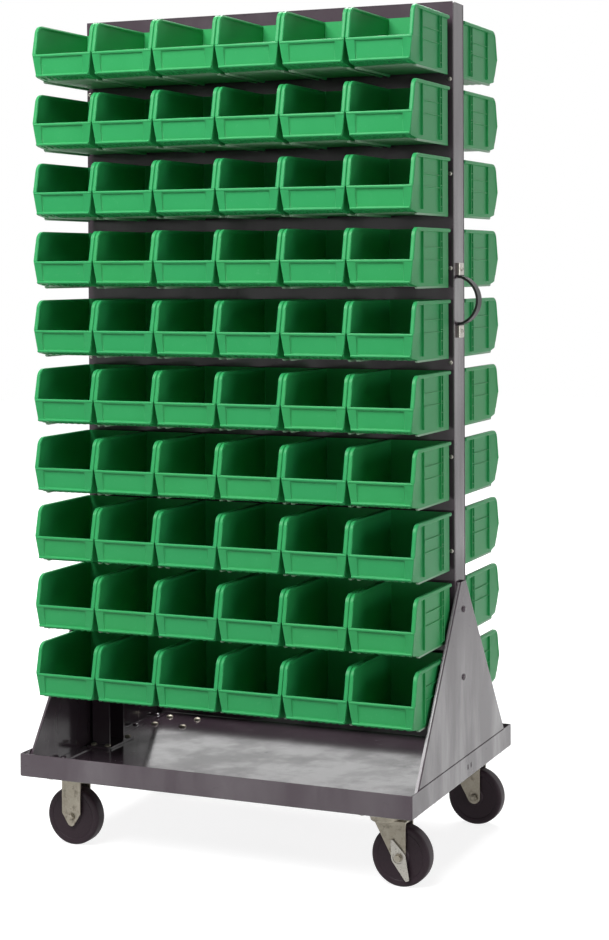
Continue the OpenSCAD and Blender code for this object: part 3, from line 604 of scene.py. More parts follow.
def front_half(z):
    """Half width of the front wall, which narrows from its lip to its foot."""
    return BIN_W / 2 - 0.6 - FRONT_TAPER * (LIP_H - z) / (LIP_H - CHAMFER_H)


def bin_flare(side):
    """Wedge that widens the side wall from its front rib to the lip."""
    low, wall = CHAMFER_H + 14, BODY_W / 2
    places = [(BIN_RIB, low, 0.0), (BIN_FOOT - 1.5, low, 0.2), (BIN_LIP - 1.5, LIP_H, RIM_OUT),
              (BIN_TOP_FRONT - 2.0, BIN_H - 9, RIM_OUT), (BIN_RIB, BIN_H - 5, 0.0), (BIN_RIB, LIP_H, 0.0)]
    bm = bmesh.new()
    inside = [bm.verts.new(point("x", -o, z, side * (wall - 1))) for o, z, _ in places]
    outside = [bm.verts.new(point("x", -o, z, side * (wall + out - 0.15))) for o, z, out in places]
    bm.faces.new(inside)
    for corners in ((0, 1, 2, 5), (5, 2, 3, 4)):
        bm.faces.new([outside[i] for i in corners])
    band(bm, inside, outside)
    face_out(bm)
    return thing("flare", bm)


def foot_corner(side):
    """Sliver cut from the body's lower front corner, where the front wall is narrower than the body."""
    wall, low, high = BODY_W / 2, CHAMFER_H - 9.0, CHAMFER_H + 16.0

    def sliver(shift):
        return [(side * (front_half(low) + shift), low), (side * (wall + 12), low),
                (side * (wall + 12), high), (side * (front_half(high) + shift), high)]

    return prism("foot_corner", sliver(0.0), -(BIN_FOOT + 8), -BIN_RIB, "y", outer=sliver(4.0))


def bin_front():
    """Front wall: a trapezoid with raised ends and a sunk label panel between sloping steps."""
    proud, thick, sunk, step, ends = 0.8, 5.0, 3.4, 1.2, BIN_W / 2 - 21.5
    levels = [CHAMFER_H, CHAMFER_H + 5.6, LIP_H - 6.4, LIP_H]
    bm = bmesh.new()

    def corner(x_share, z, depth):
        x = {-2: -front_half(z), -1: -ends, 1: ends, 2: front_half(z)}[x_share]
        lean = (BIN_LIP - BIN_FOOT) * (LIP_H - z) / (LIP_H - CHAMFER_H)
        return bm.verts.new((x * MM, -(BIN_LIP - lean - depth) * MM, z * MM))

    skin = [[corner(x, z, proud) for x in (-2, -1, 1, 2)] for z in levels]
    back = [[corner(x, z, thick) for x in (-2, 2)] for z in (levels[0], levels[-1])]
    panel = None
    for i in range(3):
        for k in range(3):
            face = bm.faces.new((skin[i][k], skin[i][k + 1], skin[i + 1][k + 1], skin[i + 1][k]))
            panel = face if i == k == 1 else panel
    bm.faces.new((back[0][0], back[0][1], back[1][1], back[1][0]))
    bm.faces.new([*skin[0], back[0][1], back[0][0]])
    bm.faces.new([*skin[3], back[1][1], back[1][0]])
    bm.faces.new([row[0] for row in skin] + [back[1][0], back[0][0]])
    bm.faces.new([row[3] for row in skin] + [back[1][1], back[0][1]])
    face_out(bm)
    inward = -panel.normal * sunk * MM
    sunk_face = bmesh.ops.extrude_discrete_faces(bm, faces=[panel])["faces"][0]
    for vert in sunk_face.verts:
        vert.co += inward
        vert.co.x *= 1 - step / ends
    round_over(bm, 1.1, 2)
    return thing("front", bm)


def side_ribs():
    """Ribs on a side wall: (rear, front, low, high) as seen from the side, and how far each stands out."""
    top, grid_back, grid_front = BIN_H - 5, -57, -70
    ribs = [(-BIN_RIB - 1.5, -BIN_RIB + 1.5, 12, top, 4.4), (-71.0, -68.2, 9, top, 4.0),
            (-58.8, -56.0, 9, top, 4.0)]
    for shares, start, half, out in (((0.32, 0.53), -BIN_RIB, 1.1, 2.6),
                                     ((0.22, 0.49, 0.68, 0.84), grid_front, 1.0, 3.6)):
        for z in (BIN_H * (1 - share) for share in shares):
            ribs.append((start, grid_back, z - half, z + half, out))
    return ribs


def hanging_bin():
    """One bin with the panel's face at Y = 0, its open front towards -Y, its underside at Z = 0."""
    half, back, chamfer_end, runner_w = BODY_W / 2, BIN_BACK + WALL, BIN_FOOT - CHAMFER_DEP, 6.0
    outer = prism("bin", bin_side(), -half, half, "x", 2.0, 3)
    clear, above = BIN_LIP + 30, BIN_H + 40
    cavity = prism("cavity", [(-back, FLOOR_TOP), (-chamfer_end, FLOOR_TOP),
                              (-(BIN_FOOT - 5), CHAMFER_H + WALL), (-(BIN_LIP - 5), LIP_H),
                              (-clear, LIP_H), (-clear, above), (-back, above)],
                   -half + WALL, half - WALL, "x", 2.5, 3)
    added = [bin_front()]
    for label, radius, out, z in (("foot_bead", 2.8, BIN_FOOT - 0.6, CHAMFER_H + 3.0),
                                  ("lip_bead", 3.2, BIN_LIP - 3.25, LIP_H - 3.25)):
        reach = front_half(z) - 0.8
        added.append(prism(label, circle(radius, 12, (-out, z)), -reach, reach, "x", 0.9, 2, sharper=60))
    heel = -(BIN_BACK + 0.3)
    runner = [(heel, 0), (-chamfer_end - 0.5, 0), (-chamfer_end - 5.0, 3.2), (-chamfer_end - 2, 5.5),
              (heel, 5.5)]
    for side in (-1, 1):
        added += [bin_rim(side), bin_flare(side)]
        for *edges, out in side_ribs():
            added.append(prism("side_rib", oblong(*edges), *span(side, half - 1, half + out), "x", 0.6, 1))
        added.append(prism("runner", runner, *span(side, half - 0.2 - runner_w, half - 0.2), "x", 0.9, 2))
    fall = (CHAMFER_H - RUNNER_H) / CHAMFER_DEP
    start, end, count, pitch = BIN_FOOT - 24, BIN_FOOT - 6, 8, 15.5
    under = [(-o, CHAMFER_H - (BIN_FOOT - o) * fall + lift)
             for o, lift in ((start, -1.6), (end, -1.6), (end, 1), (start, 1))]
    for x in ((k - (count - 1) / 2) * pitch for k in range(count)):
        added.append(prism("under_rib", under, x - 3.2, x + 3.2, "x"))
    leg_low, root = BIN_H - 17.999, -(BIN_BACK + 1)
    hook = [(-2.0, leg_low), (-5.0, leg_low), (-5.0, HOOK_UNDER), (root, HOOK_UNDER), (root, HOOK_TOP),
            (-2.0, HOOK_TOP)]
    added.append(prism("hook", hook, -50, 50, "x", 0.6, 1))
    web = [(-4.5, HOOK_UNDER + 0.6), (root, HOOK_UNDER + 0.6), (root, BIN_H - 2), (-7.0, HOOK_TOP + 1)]
    for x in (-30, 0, 30):
        added.append(prism("hook_web", web, x - 1.1, x + 1.1, "x"))
    made = shell(outer, added, [cavity, foot_corner(-1), foot_corner(1)])
    # Marks the runners' front ends for the near-white tint: scuff wear together with a painted highlight.
    scuff = made.data.attributes.new("scuff", "FLOAT", "POINT")
    scuff.data.foreach_set("value", [float(v.co.z < (RUNNER_H + 0.5) * MM and abs(v.co.x) > (half - 6.6) * MM
                                           and -v.co.y > (chamfer_end - 1) * MM)
                                     for v in made.data.vertices])
    return made


def hang_bins():
    master = hanging_bin()
    for front, side in ((True, "front"), (False, "rear")):
        for row in range(1, ROWS + 1):
            name = f"{side}_bins_row_{row:02d}"
            start = (-(COLUMNS - 1) / 2 * COL_PITCH * MM, -PANEL_Y * MM,
                     (ROW_1 - (row - 1) * ROW_PITCH) * MM)
            base = thing(f"{side}_row_{row:02d}_of_bins", bmesh.new())
            BIN_ROW.make(base, Bin=master, Columns=COLUMNS, Pitch=COL_PITCH * MM, Start=start,
                         Turn=(0.0, 0.0, 0.0 if front else math.pi), Seed=row + (0 if front else 40),
                         Finish=GREEN)
            piece(base, name, GREEN, name)
    drop(master)


# Base tray, gussets, uprights and panels

def fold_up(bm, bends, sheet):
    """Rounds the fold edges, given with their radii, and gives the surface its thickness inwards."""
    made = thing("sheet", bm)
    weights = made.data.attributes.new("bevel_weight_edge", "FLOAT", "EDGE")
    largest = max(bends.values())
    weights.data.foreach_set("value", [bends.get(i, 0.0) / largest for i in range(len(made.data.edges))])
    bend = made.modifiers.new("bend", "BEVEL")
    bend.limit_method, bend.width, bend.segments = "WEIGHT", largest * MM, 4
    wall = made.modifiers.new("wall", "SOLIDIFY")
    wall.thickness, wall.offset, wall.use_even_offset = sheet * MM, -1, True
    edge = made.modifiers.new("cut_edge", "BEVEL")
    edge.limit_method, edge.width, edge.segments = "ANGLE", 0.35 * MM, 1
    edge.angle_limit = math.radians(60)
    return plain(made)


def lip_slots(end):
    """Solids that cut the two slots through an end lip and the gusset behind it."""
    middle, slot = (TRAY_LOW + LIP_TOP) / 2, rectangle(2.5, 6.0, 2.4, 3)
    return [prism("lip_slot", [(y + a, middle + b) for a, b in slot], *span(end, TRAY_X + 2, TRAY_X - 6), "x")
            for y in (18.0, 38.0)]


def base_tray():
    bm = bmesh.new()
    outline = oblong(-TRAY_X, TRAY_X, -TRAY_Y, TRAY_Y)
    low, top = ring(bm, "z", outline, TRAY_LOW), ring(bm, "z", outline, LIP_TOP)
    deck = bm.faces.new(low)
    band(bm, low, top)
    face_out(bm)
    if deck.normal.z > 0:
        bmesh.ops.reverse_faces(bm, faces=bm.faces)
    bm.edges.index_update()
    bends = {}
    for e in bm.edges:
        ends_low = [v in low for v in e.verts]
        if any(ends_low):
            bends[e.index] = DECK_BEND if all(ends_low) else SHEET_BEND
    tray = shell(fold_up(bm, bends, TRAY_SHEET), cut=lip_slots(-1) + lip_slots(1))
    sheet_piece(tray, "folded_tray", "base_tray", "tray_lips")


def end_gusset(side):
    fold, foot, trim, gap = 7.6, 26.0, 16.0, FOOT_DEP / 2 + 0.35
    bm = bmesh.new()

    def at(x, y, z):
        return bm.verts.new((side * x * MM, y * MM, z * MM))

    base = [at(GUSSET_X, y, DECK) for y in (-GUSSET_BASE, -gap, gap, GUSSET_BASE)]
    apex = [at(GUSSET_X, y, GUSSET_TOP) for y in (GUSSET_APEX, -GUSSET_APEX)]
    folds = []
    bm.faces.new(base + apex)
    for low, high, y_low, y_high in ((base[0], apex[1], -GUSSET_BASE, -GUSSET_APEX),
                                     (base[3], apex[0], GUSSET_BASE, GUSSET_APEX)):
        bm.faces.new((low, at(GUSSET_X - fold, y_low, DECK + 4), at(GUSSET_X - fold, y_high, GUSSET_TOP),
                      high))
        folds.append((low, high))
    for a, b, in_a, in_b in ((0, 1, trim, 0.0), (2, 3, 0.0, -trim)):
        bm.faces.new((base[a], base[b], at(GUSSET_X - foot, base[b].co.y / MM + in_b, DECK),
                      at(GUSSET_X - foot, base[a].co.y / MM + in_a, DECK)))
        folds.append((base[a], base[b]))
    face_out(bm)
    plate = max(bm.faces, key=lambda face: face.calc_area())
    if plate.normal.x * side < 0:
        bmesh.ops.reverse_faces(bm, faces=bm.faces)
    bm.edges.index_update()
    bends = {bm.edges.get(pair).index: SHEET_BEND for pair in folds}
    made = shell(fold_up(bm, bends, GUSSET_SHEET), cut=lip_slots(side))
    name = LEFT_OR_RIGHT[side]
    sheet_piece(made, f"{name}_folded_gusset", f"{name}_end_gusset")


def upright(side):
    low, corner_r, weld_r = DECK + FOOT_T, 10, 3.2
    section = channel(POST_X - POST_W, POST_X, POST_Y, POST_SHEET, POST_BEND)
    post = prism("post", section, low - 0.5, RACK_TOP, "z", 0.4, 1, sharper=60)
    foot = [(FOOT_X + a, b) for a, b in rectangle(FOOT_LEN / 2, FOOT_DEP / 2, 8)]
    added, cuts = [prism("foot", foot, DECK, low, "z", 0.8, 2)], []
    for y in (-1, 1):
        in_y, in_z = POST_Y - corner_r, RACK_TOP - corner_r
        corner = [(y * (POST_Y + 3), in_z), (y * (POST_Y + 3), RACK_TOP + 3), (y * in_y, RACK_TOP + 3),
                  *circle(corner_r, 7, (y * in_y, in_z), math.pi / 2, -y * math.pi / 2)]
        cuts.append(prism("web_corner", corner, POST_X - 5, POST_X + 2, "x"))
        bead = circle(weld_r, 5, (y * POST_Y, low), 0 if y > 0 else math.pi, y * math.pi / 2)
        added.append(prism("weld", bead + [(y * (POST_Y - 1), low)], POST_X - POST_W + 2, POST_X - 3, "x"))
    made = shell(post, added, cuts)
    if side < 0:
        moved(made, Matrix.Diagonal((-1, 1, 1, 1)))
    name = LEFT_OR_RIGHT[side]
    sheet_piece(made, f"{name}_channel_upright", f"{name}_upright")


def louver():
    """One cell of the panel: flat sheet, the window and the tongue that leans out of it."""
    foot = PANEL_SHEET / math.sin(TONGUE_LEAN)
    half, half_win = COL_PITCH / 2, TONGUE_W / 2
    sheet = oblong(-half, half, -PANEL_SKIRT, ROW_PITCH / 2 - PANEL_SKIRT)
    window = oblong(-half_win, half_win, -foot - 0.2, WINDOW_H)
    bm = bmesh.new()
    (front, gap), (rear, back_gap) = ([ring(bm, "y", line, y) for line in (sheet, window)]
                                      for y in (0.0, PANEL_SHEET))
    band(bm, front, gap)
    band(bm, back_gap, rear)
    band(bm, gap, back_gap)
    tip_out = TONGUE_RISE * math.tan(TONGUE_LEAN)
    nose = PANEL_SHEET * math.cos(TONGUE_LEAN), PANEL_SHEET * math.sin(TONGUE_LEAN)
    under = rounded([(0.02, -foot - 3), (0.0, -foot), (-tip_out - nose[0], TONGUE_RISE - nose[1])], 5.0, 3)
    over = rounded([(PANEL_SHEET - 0.02, -foot - 3), (PANEL_SHEET, -PANEL_SHEET / math.tan(TONGUE_LEAN)),
                    (-tip_out, TONGUE_RISE)], 4.0, 3)
    ends = [ring(bm, "x", under + over[::-1], x * (half_win - 0.05)) for x in (-1, 1)]
    bm.faces.new(ends[0])
    bm.faces.new(ends[1][::-1])
    band(bm, ends[1], ends[0])
    return thing("louver", bm)


def louver_panels():
    cell = louver()
    rows = 2 * ROWS
    pitch = ROW_PITCH / 2
    first = ROW_1 + HOOK_UNDER - HOOK_GAP - TONGUE_RISE
    last = first - (rows - 1) * pitch
    low, high, half = last - PANEL_SKIRT, first + pitch - PANEL_SKIRT, COLUMNS * COL_PITCH / 2
    for side, turn in (("front", 0.0), ("rear", math.pi)):
        front, back = -PANEL_Y, -PANEL_Y + PANEL_SHEET
        strips = [block("strip", (-POST_X, front, high), (POST_X, back, RACK_TOP), 0.3, 1)]
        for x in (-1, 1):
            near, far = span(x, half, POST_X)
            strips.append(block("strip", (near, front, low), (far, back, high)))
        base = together("panel", *strips)
        LOUVERS.make(base, Louver=cell, Columns=COLUMNS, Rows=rows, Width=(COLUMNS - 1) * COL_PITCH * MM,
                     Height=(rows - 1) * pitch * MM, Centre=(0.0, -PANEL_Y * MM, (first + last) / 2 * MM),
                     Turn=(0.0, 0.0, turn), Finish=PAINT)
        close_border(base)
        sheet_piece(base, f"{side}_pressed_panel", f"{side}_louver_panel")
    drop(cell)


def close_border(made):
    """Joins the open front and back edges of a sheet by its cut edge."""
    bm = bmesh.new()
    bm.from_mesh(made.data)
    bmesh.ops.bridge_loops(bm, edges=[e for e in bm.edges if e.is_boundary])
    face_out(bm)
    bm.to_mesh(made.data)
    bm.free()


def top_cap():
    section = [(y, z) for z, y in channel(RACK_TOP - 18.0, RACK_TOP, POST_Y, PANEL_SHEET, CAP_BEND)]
    half = POST_X - POST_W - 0.35
    sheet_piece(prism("cap", section, -half, half, "x"), "folded_top_cap", "top_cap")


# Fasteners

def hex_nut(name, across, low, high):
    bm = prism_mesh(circle(across / 2, 6), low, high, "z")
    round_over(bm, 0.7, 2, [e for e in bm.edges if abs(e.verts[0].co.z - e.verts[1].co.z) < 1e-6])
    return thing(name, bm)


def round_head(name, radius, height, shares):
    """Low round head on Z = 0; shares are its points between the crown and the rim."""
    crown = [(radius * across, height * up) for across, up in shares]
    return turned(name, [(0, height), *crown, (radius, 0), (0, 0)], 16)


def deck_bolt(size, grip):
    """Low round head standing on Z = 0, and the nut with the bolt's end under the grip."""
    nut_h, shank_r = 0.8 * size, 0.5 * size
    head = round_head("head", 0.95 * size, 0.55 * size, ((0.45, 0.96), (0.78, 0.72), (0.95, 0.35)))
    nut = hex_nut("nut", 1.9 * size, -grip - nut_h * 0.92, -grip)
    end = turned("end", [(0, -grip - nut_h), (size * 0.42, -grip - nut_h), (shank_r, -grip - nut_h * 0.9),
                         (shank_r, -grip + 0.5), (0, -grip + 0.5)], 12)
    return together("bolt", head, nut, end)


def panel_screw(head_d, head_h):
    """Pan head with a cross recess."""
    radius = head_d / 2
    head = round_head("screw", radius, head_h, ((0.5, 0.97), (0.82, 0.75), (0.97, 0.35)))
    arm, deep, slot = radius * 0.62, head_h * 0.45, 0.65
    cross = [block("arm", (-a, -b, deep), (a, b, head_h + 2)) for a, b in ((arm, slot), (slot, arm))]
    return shell(head, cut=cross)


def fasten(name, master, places, finish, node, seed):
    """A group of equal fasteners, made by the rule on its places."""
    base = points_object(name, places)
    FASTENERS.make(base, Fastener=master, Seed=seed, Finish=finish)
    drop(master)
    piece(base, "frame", finish, node)


def four_ways(x, y):
    return [(sx * x, sy * y) for sx in (-1, 1) for sy in (-1, 1)]


def fit_fasteners():
    up, ends = (0, 0, 1), (-1, 1)
    screws = [((sx * SCREW_X, s * PANEL_Y, RACK_TOP - SCREW_DROP - k * SCREW_PITCH), (0, s, 0))
              for s in ends for sx in ends for k in range(SCREW_COUNT)]
    fasten("pan_head_screws", panel_screw(9.5, 2.6), screws, PLATE, "panel_screws", 1)
    feet = [((s * FOOT_X + x, y, DECK + FOOT_T), up) for s in ends for x, y in four_ways(*FOOT_BOLT_AT)]
    fasten("foot_plate_bolts", deck_bolt(FRAME_BOLT, FOOT_T + TRAY_SHEET), feet, ZINC, "foot_bolts", 2)
    deck = [((x, y, DECK + GUSSET_SHEET), up)
            for b in GUSSET_BOLT_Y for x, y in four_ways(GUSSET_X - GUSSET_BOLT_IN, b)]
    fasten("gusset_foot_bolts", deck_bolt(FRAME_BOLT, GUSSET_SHEET + TRAY_SHEET), deck, PAINT,
           "gusset_bolts", 3)
    spacer = GUSSET_X - GUSSET_SHEET - POST_X
    web = [((s * GUSSET_X, 0, z), (s, 0, 0)) for s in ends for z in WEB_BOLT_Z]
    bolt = deck_bolt(FRAME_BOLT, GUSSET_SHEET + spacer + POST_SHEET)
    tube = turned("spacer", oblong(4.3, 7.6, -GUSSET_SHEET, -GUSSET_SHEET - spacer), 24, True)
    fasten("gusset_web_bolts", together("web_bolt", bolt, tube), web, PAINT, "gusset_bolts", 4)
    plates = [((cx + x, cy + y, DECK), up) for cx, cy in four_ways(CASTER_X, CASTER_Y)
              for x, y in four_ways(PLATE_BOLT_AT, PLATE_BOLT_AT)]
    fasten("caster_plate_bolts", deck_bolt(CASTER_BOLT, TRAY_SHEET + PLATE_T), plates, ZINC,
           "caster_bolts", 5)
    grips = [((POST_X + CAP_SEAT, 0, z), (1, 0, 0)) for z in handle_feet()]
    fasten("handle_foot_screws", panel_screw(10.0, 2.6), grips, PLATE, "handle_screws", 6)


# Handle

def handle_feet():
    return [HANDLE_Z + s * (HANDLE_HALF + HANDLE_FOOT / 2) for s in (-1, 1)]


def handle():
    bow_r = (HANDLE_HALF ** 2 + HANDLE_REACH ** 2) / (2 * HANDLE_REACH)
    half, reach = STRAP_T / 2, math.radians(72)
    foot_x = POST_X + half
    bow = circle(bow_r - half, 25, (POST_X + HANDLE_REACH - bow_r, HANDLE_Z), reach, -2 * reach)
    end = HANDLE_HALF + HANDLE_FOOT - 1.0
    line = [(foot_x, HANDLE_Z + end), (foot_x, bow[0][1]), *bow,
            (foot_x, bow[-1][1]), (foot_x, HANDLE_Z - end)]
    line = rounded(line, [0, 3.0] + [0.0] * len(bow) + [3.0, 0])
    ways = [(Vector(line[min(i + 1, len(line) - 1)]) - Vector(line[max(i - 1, 0)])).normalized()
            for i in range(len(line))]
    left, right = ([(x - s * w.y, z + s * w.x) for (x, z), w in zip(line, ways)] for s in (half, -half))
    strap = prism("bowed_strap", left + right[::-1], -STRAP_W / 2, STRAP_W / 2, "y", 1.5, 3, sharper=50)
    piece(strap, "frame", VINYL, "handle_strap", turn=60)
    section = channel(POST_X, POST_X + CAP_SEAT, STRAP_W / 2 + 1.7, CAP_SHEET, 2.6)
    caps = [prism("cap", section, z - HANDLE_FOOT / 2, z + HANDLE_FOOT / 2, "z", 0.35, 1, sharper=60)
            for z in handle_feet()]
    piece(together("plated_end_caps", *caps), "frame", PLATE, "handle_end_caps")


# Casters, made round their plate's middle at the front

def at_corner(end, rear):
    return Matrix.Translation((end * CASTER_X * MM, (CASTER_Y if rear else -CASTER_Y) * MM, 0)) @ \
        Matrix.Diagonal((1, -1 if rear else 1, 1, 1))


def on_axle(made, x):
    """Lays a solid that was turned round Z along the axle, its top towards the outside."""
    return moved(made, Matrix.Translation((x * MM, 0, AXLE_Z * MM)) @ Matrix.Rotation(math.pi / 2, 4, "X"))


def fit(made, name, place, body, finish, node):
    made.name = name
    piece(moved(made, place), body, finish, node)


def run_in(place, centre, radius, side):
    """Angle on a round end at which the straight side from place runs into it."""
    d = Vector(place) - Vector(centre)
    return math.atan2(d.y, d.x) + side * math.acos(radius / d.length)


def fork_leg(outline, side, inset):
    """Pressed leg whose outer face is sunk inside a raised edge."""
    bm = prism_mesh(outline, *span(side, BUSH_HALF, BUSH_HALF + LEG_T), "y")
    outer = max(bm.faces, key=lambda face: face.normal.y * side)
    for width, depth in ((inset, 0.0), (1.2, -1.1)):
        bmesh.ops.inset_region(bm, faces=[outer], thickness=width * MM, depth=depth * MM,
                               use_even_offset=True)
    round_over(bm, 0.7, 2, sharper=55)
    return thing("leg", bm)


def caster_plate():
    return prism("plate", rectangle(51, 57, 9), PLATE_Z, PLATE_Z + PLATE_T, "z", 1.0, 2)


def rigid_fork(place, label):
    half, taper, tip_z, tip_r, bend = 23.0, AXLE_Z + 46 / 6, AXLE_Z - 11.5, 9.2, 7
    a = run_in((half, taper), (0, tip_z), tip_r, -1)
    tip = circle(tip_r, 9, (0, tip_z), a, -2 * (a + math.pi / 2))
    outline = [(half, PLATE_Z + 0.5), (half, taper), *tip, (-half, taper), (-half, PLATE_Z + 0.5)]
    added = []
    for side in (-1, 1):
        added.append(fork_leg(outline, side, 5.5))
        y = side * (BUSH_HALF + LEG_T)
        out, low = y + side * bend, PLATE_Z - bend
        fillet = [(y - side, PLATE_Z + 0.4), (out, PLATE_Z + 0.4),
                  *circle(bend, 6, (out, low), math.pi / 2, side * math.pi / 2)[1:], (y - side, low)]
        added.append(prism("bend", fillet, -half + 0.5, half - 0.5, "x"))
    fit(shell(caster_plate(), added), f"rigid_pressed_fork_{label}", place, "frame", ZINC,
        f"rigid_fork_{label}")


def swivel_fork(place, label):
    reach, tip_r, top, wide = 56.0, 14.5, RACE_Z - AXLE_Z, BUSH_HALF + LEG_T
    a = run_in((-reach, top), (0, 0), tip_r, 1)
    tip = circle(tip_r, 12, (0, 0), 0.0, a - 2 * math.pi)
    outline = [(x + TRAIL, z + AXLE_Z) for x, z in [(tip_r, top), *tip, (-reach, top)]]
    legs = [fork_leg(outline, side, 6.0) for side in (-1, 1)]
    crown = block("crown", (TRAIL - reach, -wide, CROWN_Z), (TRAIL + tip_r, wide, RACE_Z), 1.6, 3)
    race = turned("race", [(0, CROWN_Z + 1), (33, CROWN_Z + 1), (34, CROWN_Z + 2), (34, RACE_TOP - 1.5),
                           (32.5, RACE_TOP), (0, RACE_TOP)], 40)
    fit(shell(crown, [*legs, race]), f"swivel_pressed_fork_{label}", place, f"swivel_{label}", ZINC,
        f"swivel_fork_{label}")


def swivel_plate(place, label):
    high = PLATE_Z + 1
    skirt = turned("skirt", [(34.4, 139.2), (36.0, 138.8), (36.3, 140.0), (36.3, 147.0), (38.0, 151.0),
                             (41.0, high), (34.4, high)], 40, True)
    cup = turned("cup", oblong(6.2, 35.0, 147.4, high), 40, True)
    fit(shell(caster_plate(), [skirt, cup]), f"swivel_top_plate_{label}", place, "frame", ZINC,
        f"swivel_plate_{label}")


def wheel(x, place, node):
    """Moulded wheel: crowned tread, rounded shoulders, a ring groove and a hub on each side."""
    hub_half, hub_r, bore = BUSH_HALF - LEVER_GAP, 19.0, 8.05
    face = ((hub_r + 1.2, 1.0), (40.0, 1.2), (48.0, 0.7), (49.5, 1.5), (51.0, 0.2), (57.0, 0.0), (59.5, 0.5),
            (61.4, 1.7), (62.7, 3.4), (63.3, 6.0))
    side = [(bore, hub_half), (hub_r - 2, hub_half), (hub_r, hub_half - 1.2),
            *[(radius, WHEEL_HALF - deep) for radius, deep in face]]
    profile = side + [(WHEEL_R, 0.0)] + [(r, -h) for r, h in side[::-1]]
    fit(on_axle(turned("wheel", profile, 72, True), x), f"moulded_{node}", place, node, RUBBER, node)


def axle_bolt(x, extra, place, body, node):
    """Axle bolt with a washered hex head towards the rack's outside and a lock nut inside."""
    far, near = -BUSH_HALF - LEG_T, BUSH_HALF + LEG_T + extra
    shank = turned("shank", [(0, far - 8), (4.2, far - 8), (4.9, far - 7), (4.9, near + 1), (0, near + 1)],
                   20)
    head = hex_nut("head", 14.5, near + 1.2, near + 6.0)
    washer = turned("washer", [(0, near + 0.05), (8.4, near + 0.05), (8.7, near + 0.6), (8.4, near + 1.4),
                               (0, near + 1.4)], 28)
    nut = hex_nut("nut", 17.0, far - 6.2, far - 0.05)
    collar = turned("collar", [(5.2, far - 6.0), (7.2, far - 6.0), (6.6, far - 7.8), (5.2, far - 7.8)],
                    20, True)
    made = together("axle_bolt", shank, head, washer, nut, collar)
    fit(on_axle(made, x), f"axle_bolt_{node}", place, body, ZINC, node)


def brake_lever(place, label):
    """Stamped side lever: a hub with a ring groove, a pedal arm and a short tab."""
    hub_r, arm, tab, lean, tip = 16.0, 50.0, 39.0, math.radians(23), 5.0
    a = run_in((tip, -arm), (0, 0), hub_r, 1)
    b = run_in((tip / 2, tab), (0, 0), hub_r, -1)
    right = circle(hub_r, 9, (0, 0), a, b - a)
    outline = [(-tip + 1.5, -arm), (tip - 1.5, -arm), (tip, -arm + 2.5), *right,
               (tip / 2, tab - 1), (-tip / 2, tab - 1), *[(-x, z) for x, z in right[::-1]],
               (-tip, -arm + 2.5)]
    cos, sin = math.cos(lean), math.sin(lean)
    outline = [(x * cos - z * sin + TRAIL, x * sin + z * cos + AXLE_Z) for x, z in outline]
    inner = BUSH_HALF + LEG_T + LEVER_GAP
    outer = inner + LEVER_T
    made = prism("lever", outline, -outer, -inner, "y", 0.7, 2, sharper=40)
    groove = turned("groove", [(9.0, outer - 2.0), (12.0, outer - 2.0), (12.6, outer + 1), (8.8, outer + 1)],
                    32, True)
    bore = turned("bore", oblong(0, 5.05, inner - 1, outer + 1), 24)
    shell(made, cut=[on_axle(groove, TRAIL), on_axle(bore, TRAIL)])
    fit(made, f"stamped_brake_lever_{label}", place, f"brake_{label}", PLATE, f"brake_lever_{label}")


def fit_casters():
    room = LEVER_T + 2 * LEVER_GAP
    for rear, label in ((False, "front"), (True, "rear")):
        rigid, swivel = at_corner(-1, rear), at_corner(1, rear)
        rigid_fork(rigid, label)
        wheel(0.0, rigid, f"rigid_wheel_{label}")
        axle_bolt(0.0, 0.0, rigid, "frame", f"rigid_axle_{label}")
        swivel_plate(swivel, label)
        swivel_fork(swivel, label)
        wheel(TRAIL, swivel, f"swivel_wheel_{label}")
        axle_bolt(TRAIL, room, swivel, f"swivel_{label}", f"swivel_axle_{label}")
        brake_lever(swivel, label)
        for part in ("rigid_bush", "swivel_bush", "swivel_balls", "swivel_kingpin"):
            hidden = frame["nodes"][f"{part}_{label}"]
            hidden.data.materials.clear()
            hidden.data.materials.append(PLATE)


# Camera, floor and light

def photo_camera():
    """Camera fitted to the photograph, whose pixels are 609 by 940."""
    wide, tall, focal, centre_x, centre_y = 609, 940, 1872.2, 375.0, 290.0
    yaw, pitch, roll = (math.radians(a) for a in (22.195, -0.706, -0.247))
    ahead = Vector((-math.sin(yaw) * math.cos(pitch), math.cos(yaw) * math.cos(pitch), math.sin(pitch)))
    level = Vector((math.cos(yaw), math.sin(yaw), 0))
    lift = level.cross(ahead)
    right = level * math.cos(roll) + lift * math.sin(roll)
    up = lift * math.cos(roll) - level * math.sin(roll)
    data = bpy.data.cameras.new("photo_camera")
    data.sensor_width, data.lens = 36.0, focal * 36.0 / tall
    data.shift_x, data.shift_y = (wide / 2 - centre_x) / tall, (centre_y - tall / 2) / tall
    data.clip_end = 60.0
    turn = Matrix((right, up, -ahead)).transposed().to_4x4()
    scene.camera = linked("photo_camera", data)
    scene.camera.matrix_world = Matrix.Translation((1.7962, -3.7835, 1.2650)) @ turn


def seen(nodes, behind, mirrored):
    """1 for rays that show the white backdrop; a mirror ray towards the front meets a dimmer room."""
    rays = nodes.tree.nodes.new("ShaderNodeLightPath")
    camera, glossy, through = (Wire(nodes, rays.outputs[f"Is {kind} Ray"])
                               for kind in ("Camera", "Glossy", "Transmission"))
    front = 0.4
    mirror = glossy * (front + (mirrored - front) * behind)
    return nodes.add("ShaderNodeClamp", {"Value": camera + through + mirror})


def towards_back(nodes, way, low, high):
    """0 in front of the rack, 1 behind it."""
    depth = nodes.add("ShaderNodeSeparateXYZ", {"Vector": way}, "Y")
    return nodes.add("ShaderNodeMapRange", {"Value": depth, "From Min": low, "From Max": high})


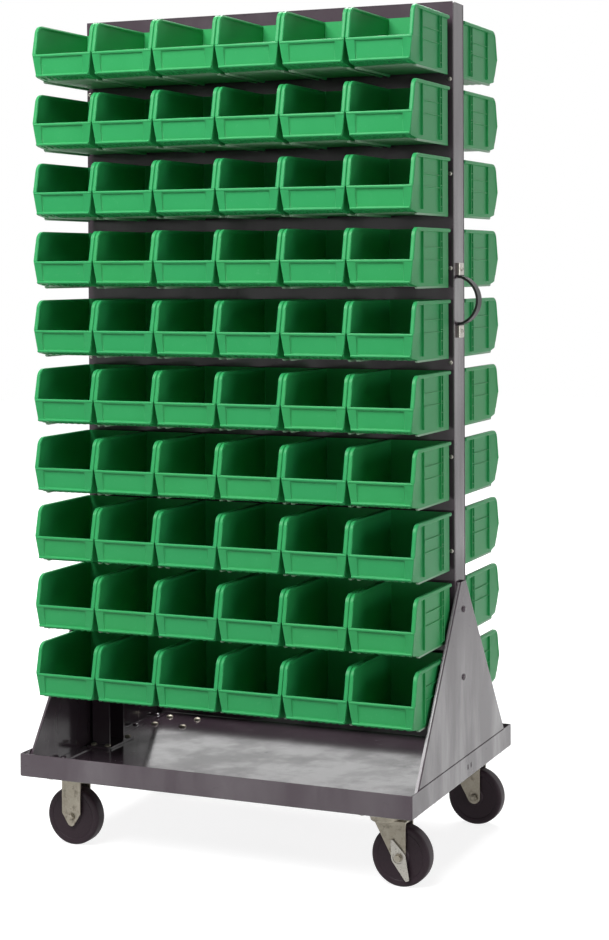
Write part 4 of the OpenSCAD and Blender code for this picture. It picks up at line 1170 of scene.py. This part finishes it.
def studio():
    """Pale floor that fades into a white backdrop, and soft light from above and from the ends."""
    f = Finish("pale_floor")
    body = f.add("ShaderNodeBsdfDiffuse", {"Color": (0.42, 0.42, 0.42, 1)})
    away = f.add("ShaderNodeVectorMath", {0: f.place}, "Value", operation="LENGTH")
    level = 0.84 + 0.16 * f.above(away, 1.0, 3.5)
    shown = seen(f, towards_back(f, f.place, -1.5, 0.5), 0.75)
    glow = f.add("ShaderNodeEmission", {"Color": (1, 1, 1, 1), "Strength": shown * level})
    both = f.add("ShaderNodeAddShader", {0: body, 1: glow})
    f.add("ShaderNodeOutputMaterial", {"Surface": both})
    bm = bmesh.new()
    bmesh.ops.create_circle(bm, cap_ends=True, segments=64, radius=14.0)
    floor = thing("studio_floor", bm)
    floor.data.materials.append(f.material)

    world = bpy.data.worlds.new("studio_backdrop")
    world.use_nodes = True
    sky = Nodes(world.node_tree)
    world.node_tree.nodes.clear()
    dome = 0.09
    shown = seen(sky, towards_back(sky, sky.add("ShaderNodeTexCoord", out="Generated"), -0.4, 0.4), 1.0)
    light = sky.add("ShaderNodeBackground",
                    {"Color": (1, 1, 1, 1), "Strength": shown * (1 - dome) + dome})
    sky.add("ShaderNodeOutputWorld", {"Surface": light})
    scene.world = world

    for name, place, aim, size, power in (
            ("key_panel", (-0.6, -3.1, 4.6), (0.0, 0.0, 0.9), 3.6, 300.0),
            ("side_panel", (4.6, -1.4, 1.2), (0.3, 0.0, 0.8), 2.0, 45.0),
            ("back_panel", (-0.8, 3.1, 4.6), (0.0, 0.0, 0.9), 3.6, 260.0),
            ("far_panel", (-4.6, 1.4, 1.2), (-0.3, 0.0, 0.8), 2.0, 50.0)):
        data = bpy.data.lights.new(name, "AREA")
        data.shape, data.size, data.energy = "DISK", size, power
        turn = (Vector(place) - Vector(aim)).to_track_quat("Z", "Y").to_matrix().to_4x4()
        linked(name, data).matrix_world = Matrix.Translation(place) @ turn


photo_camera()
studio()
hang_bins()
base_tray()
for end_side in (-1, 1):
    end_gusset(end_side)
    upright(end_side)
louver_panels()
top_cap()
fit_fasteners()
handle()
fit_casters()
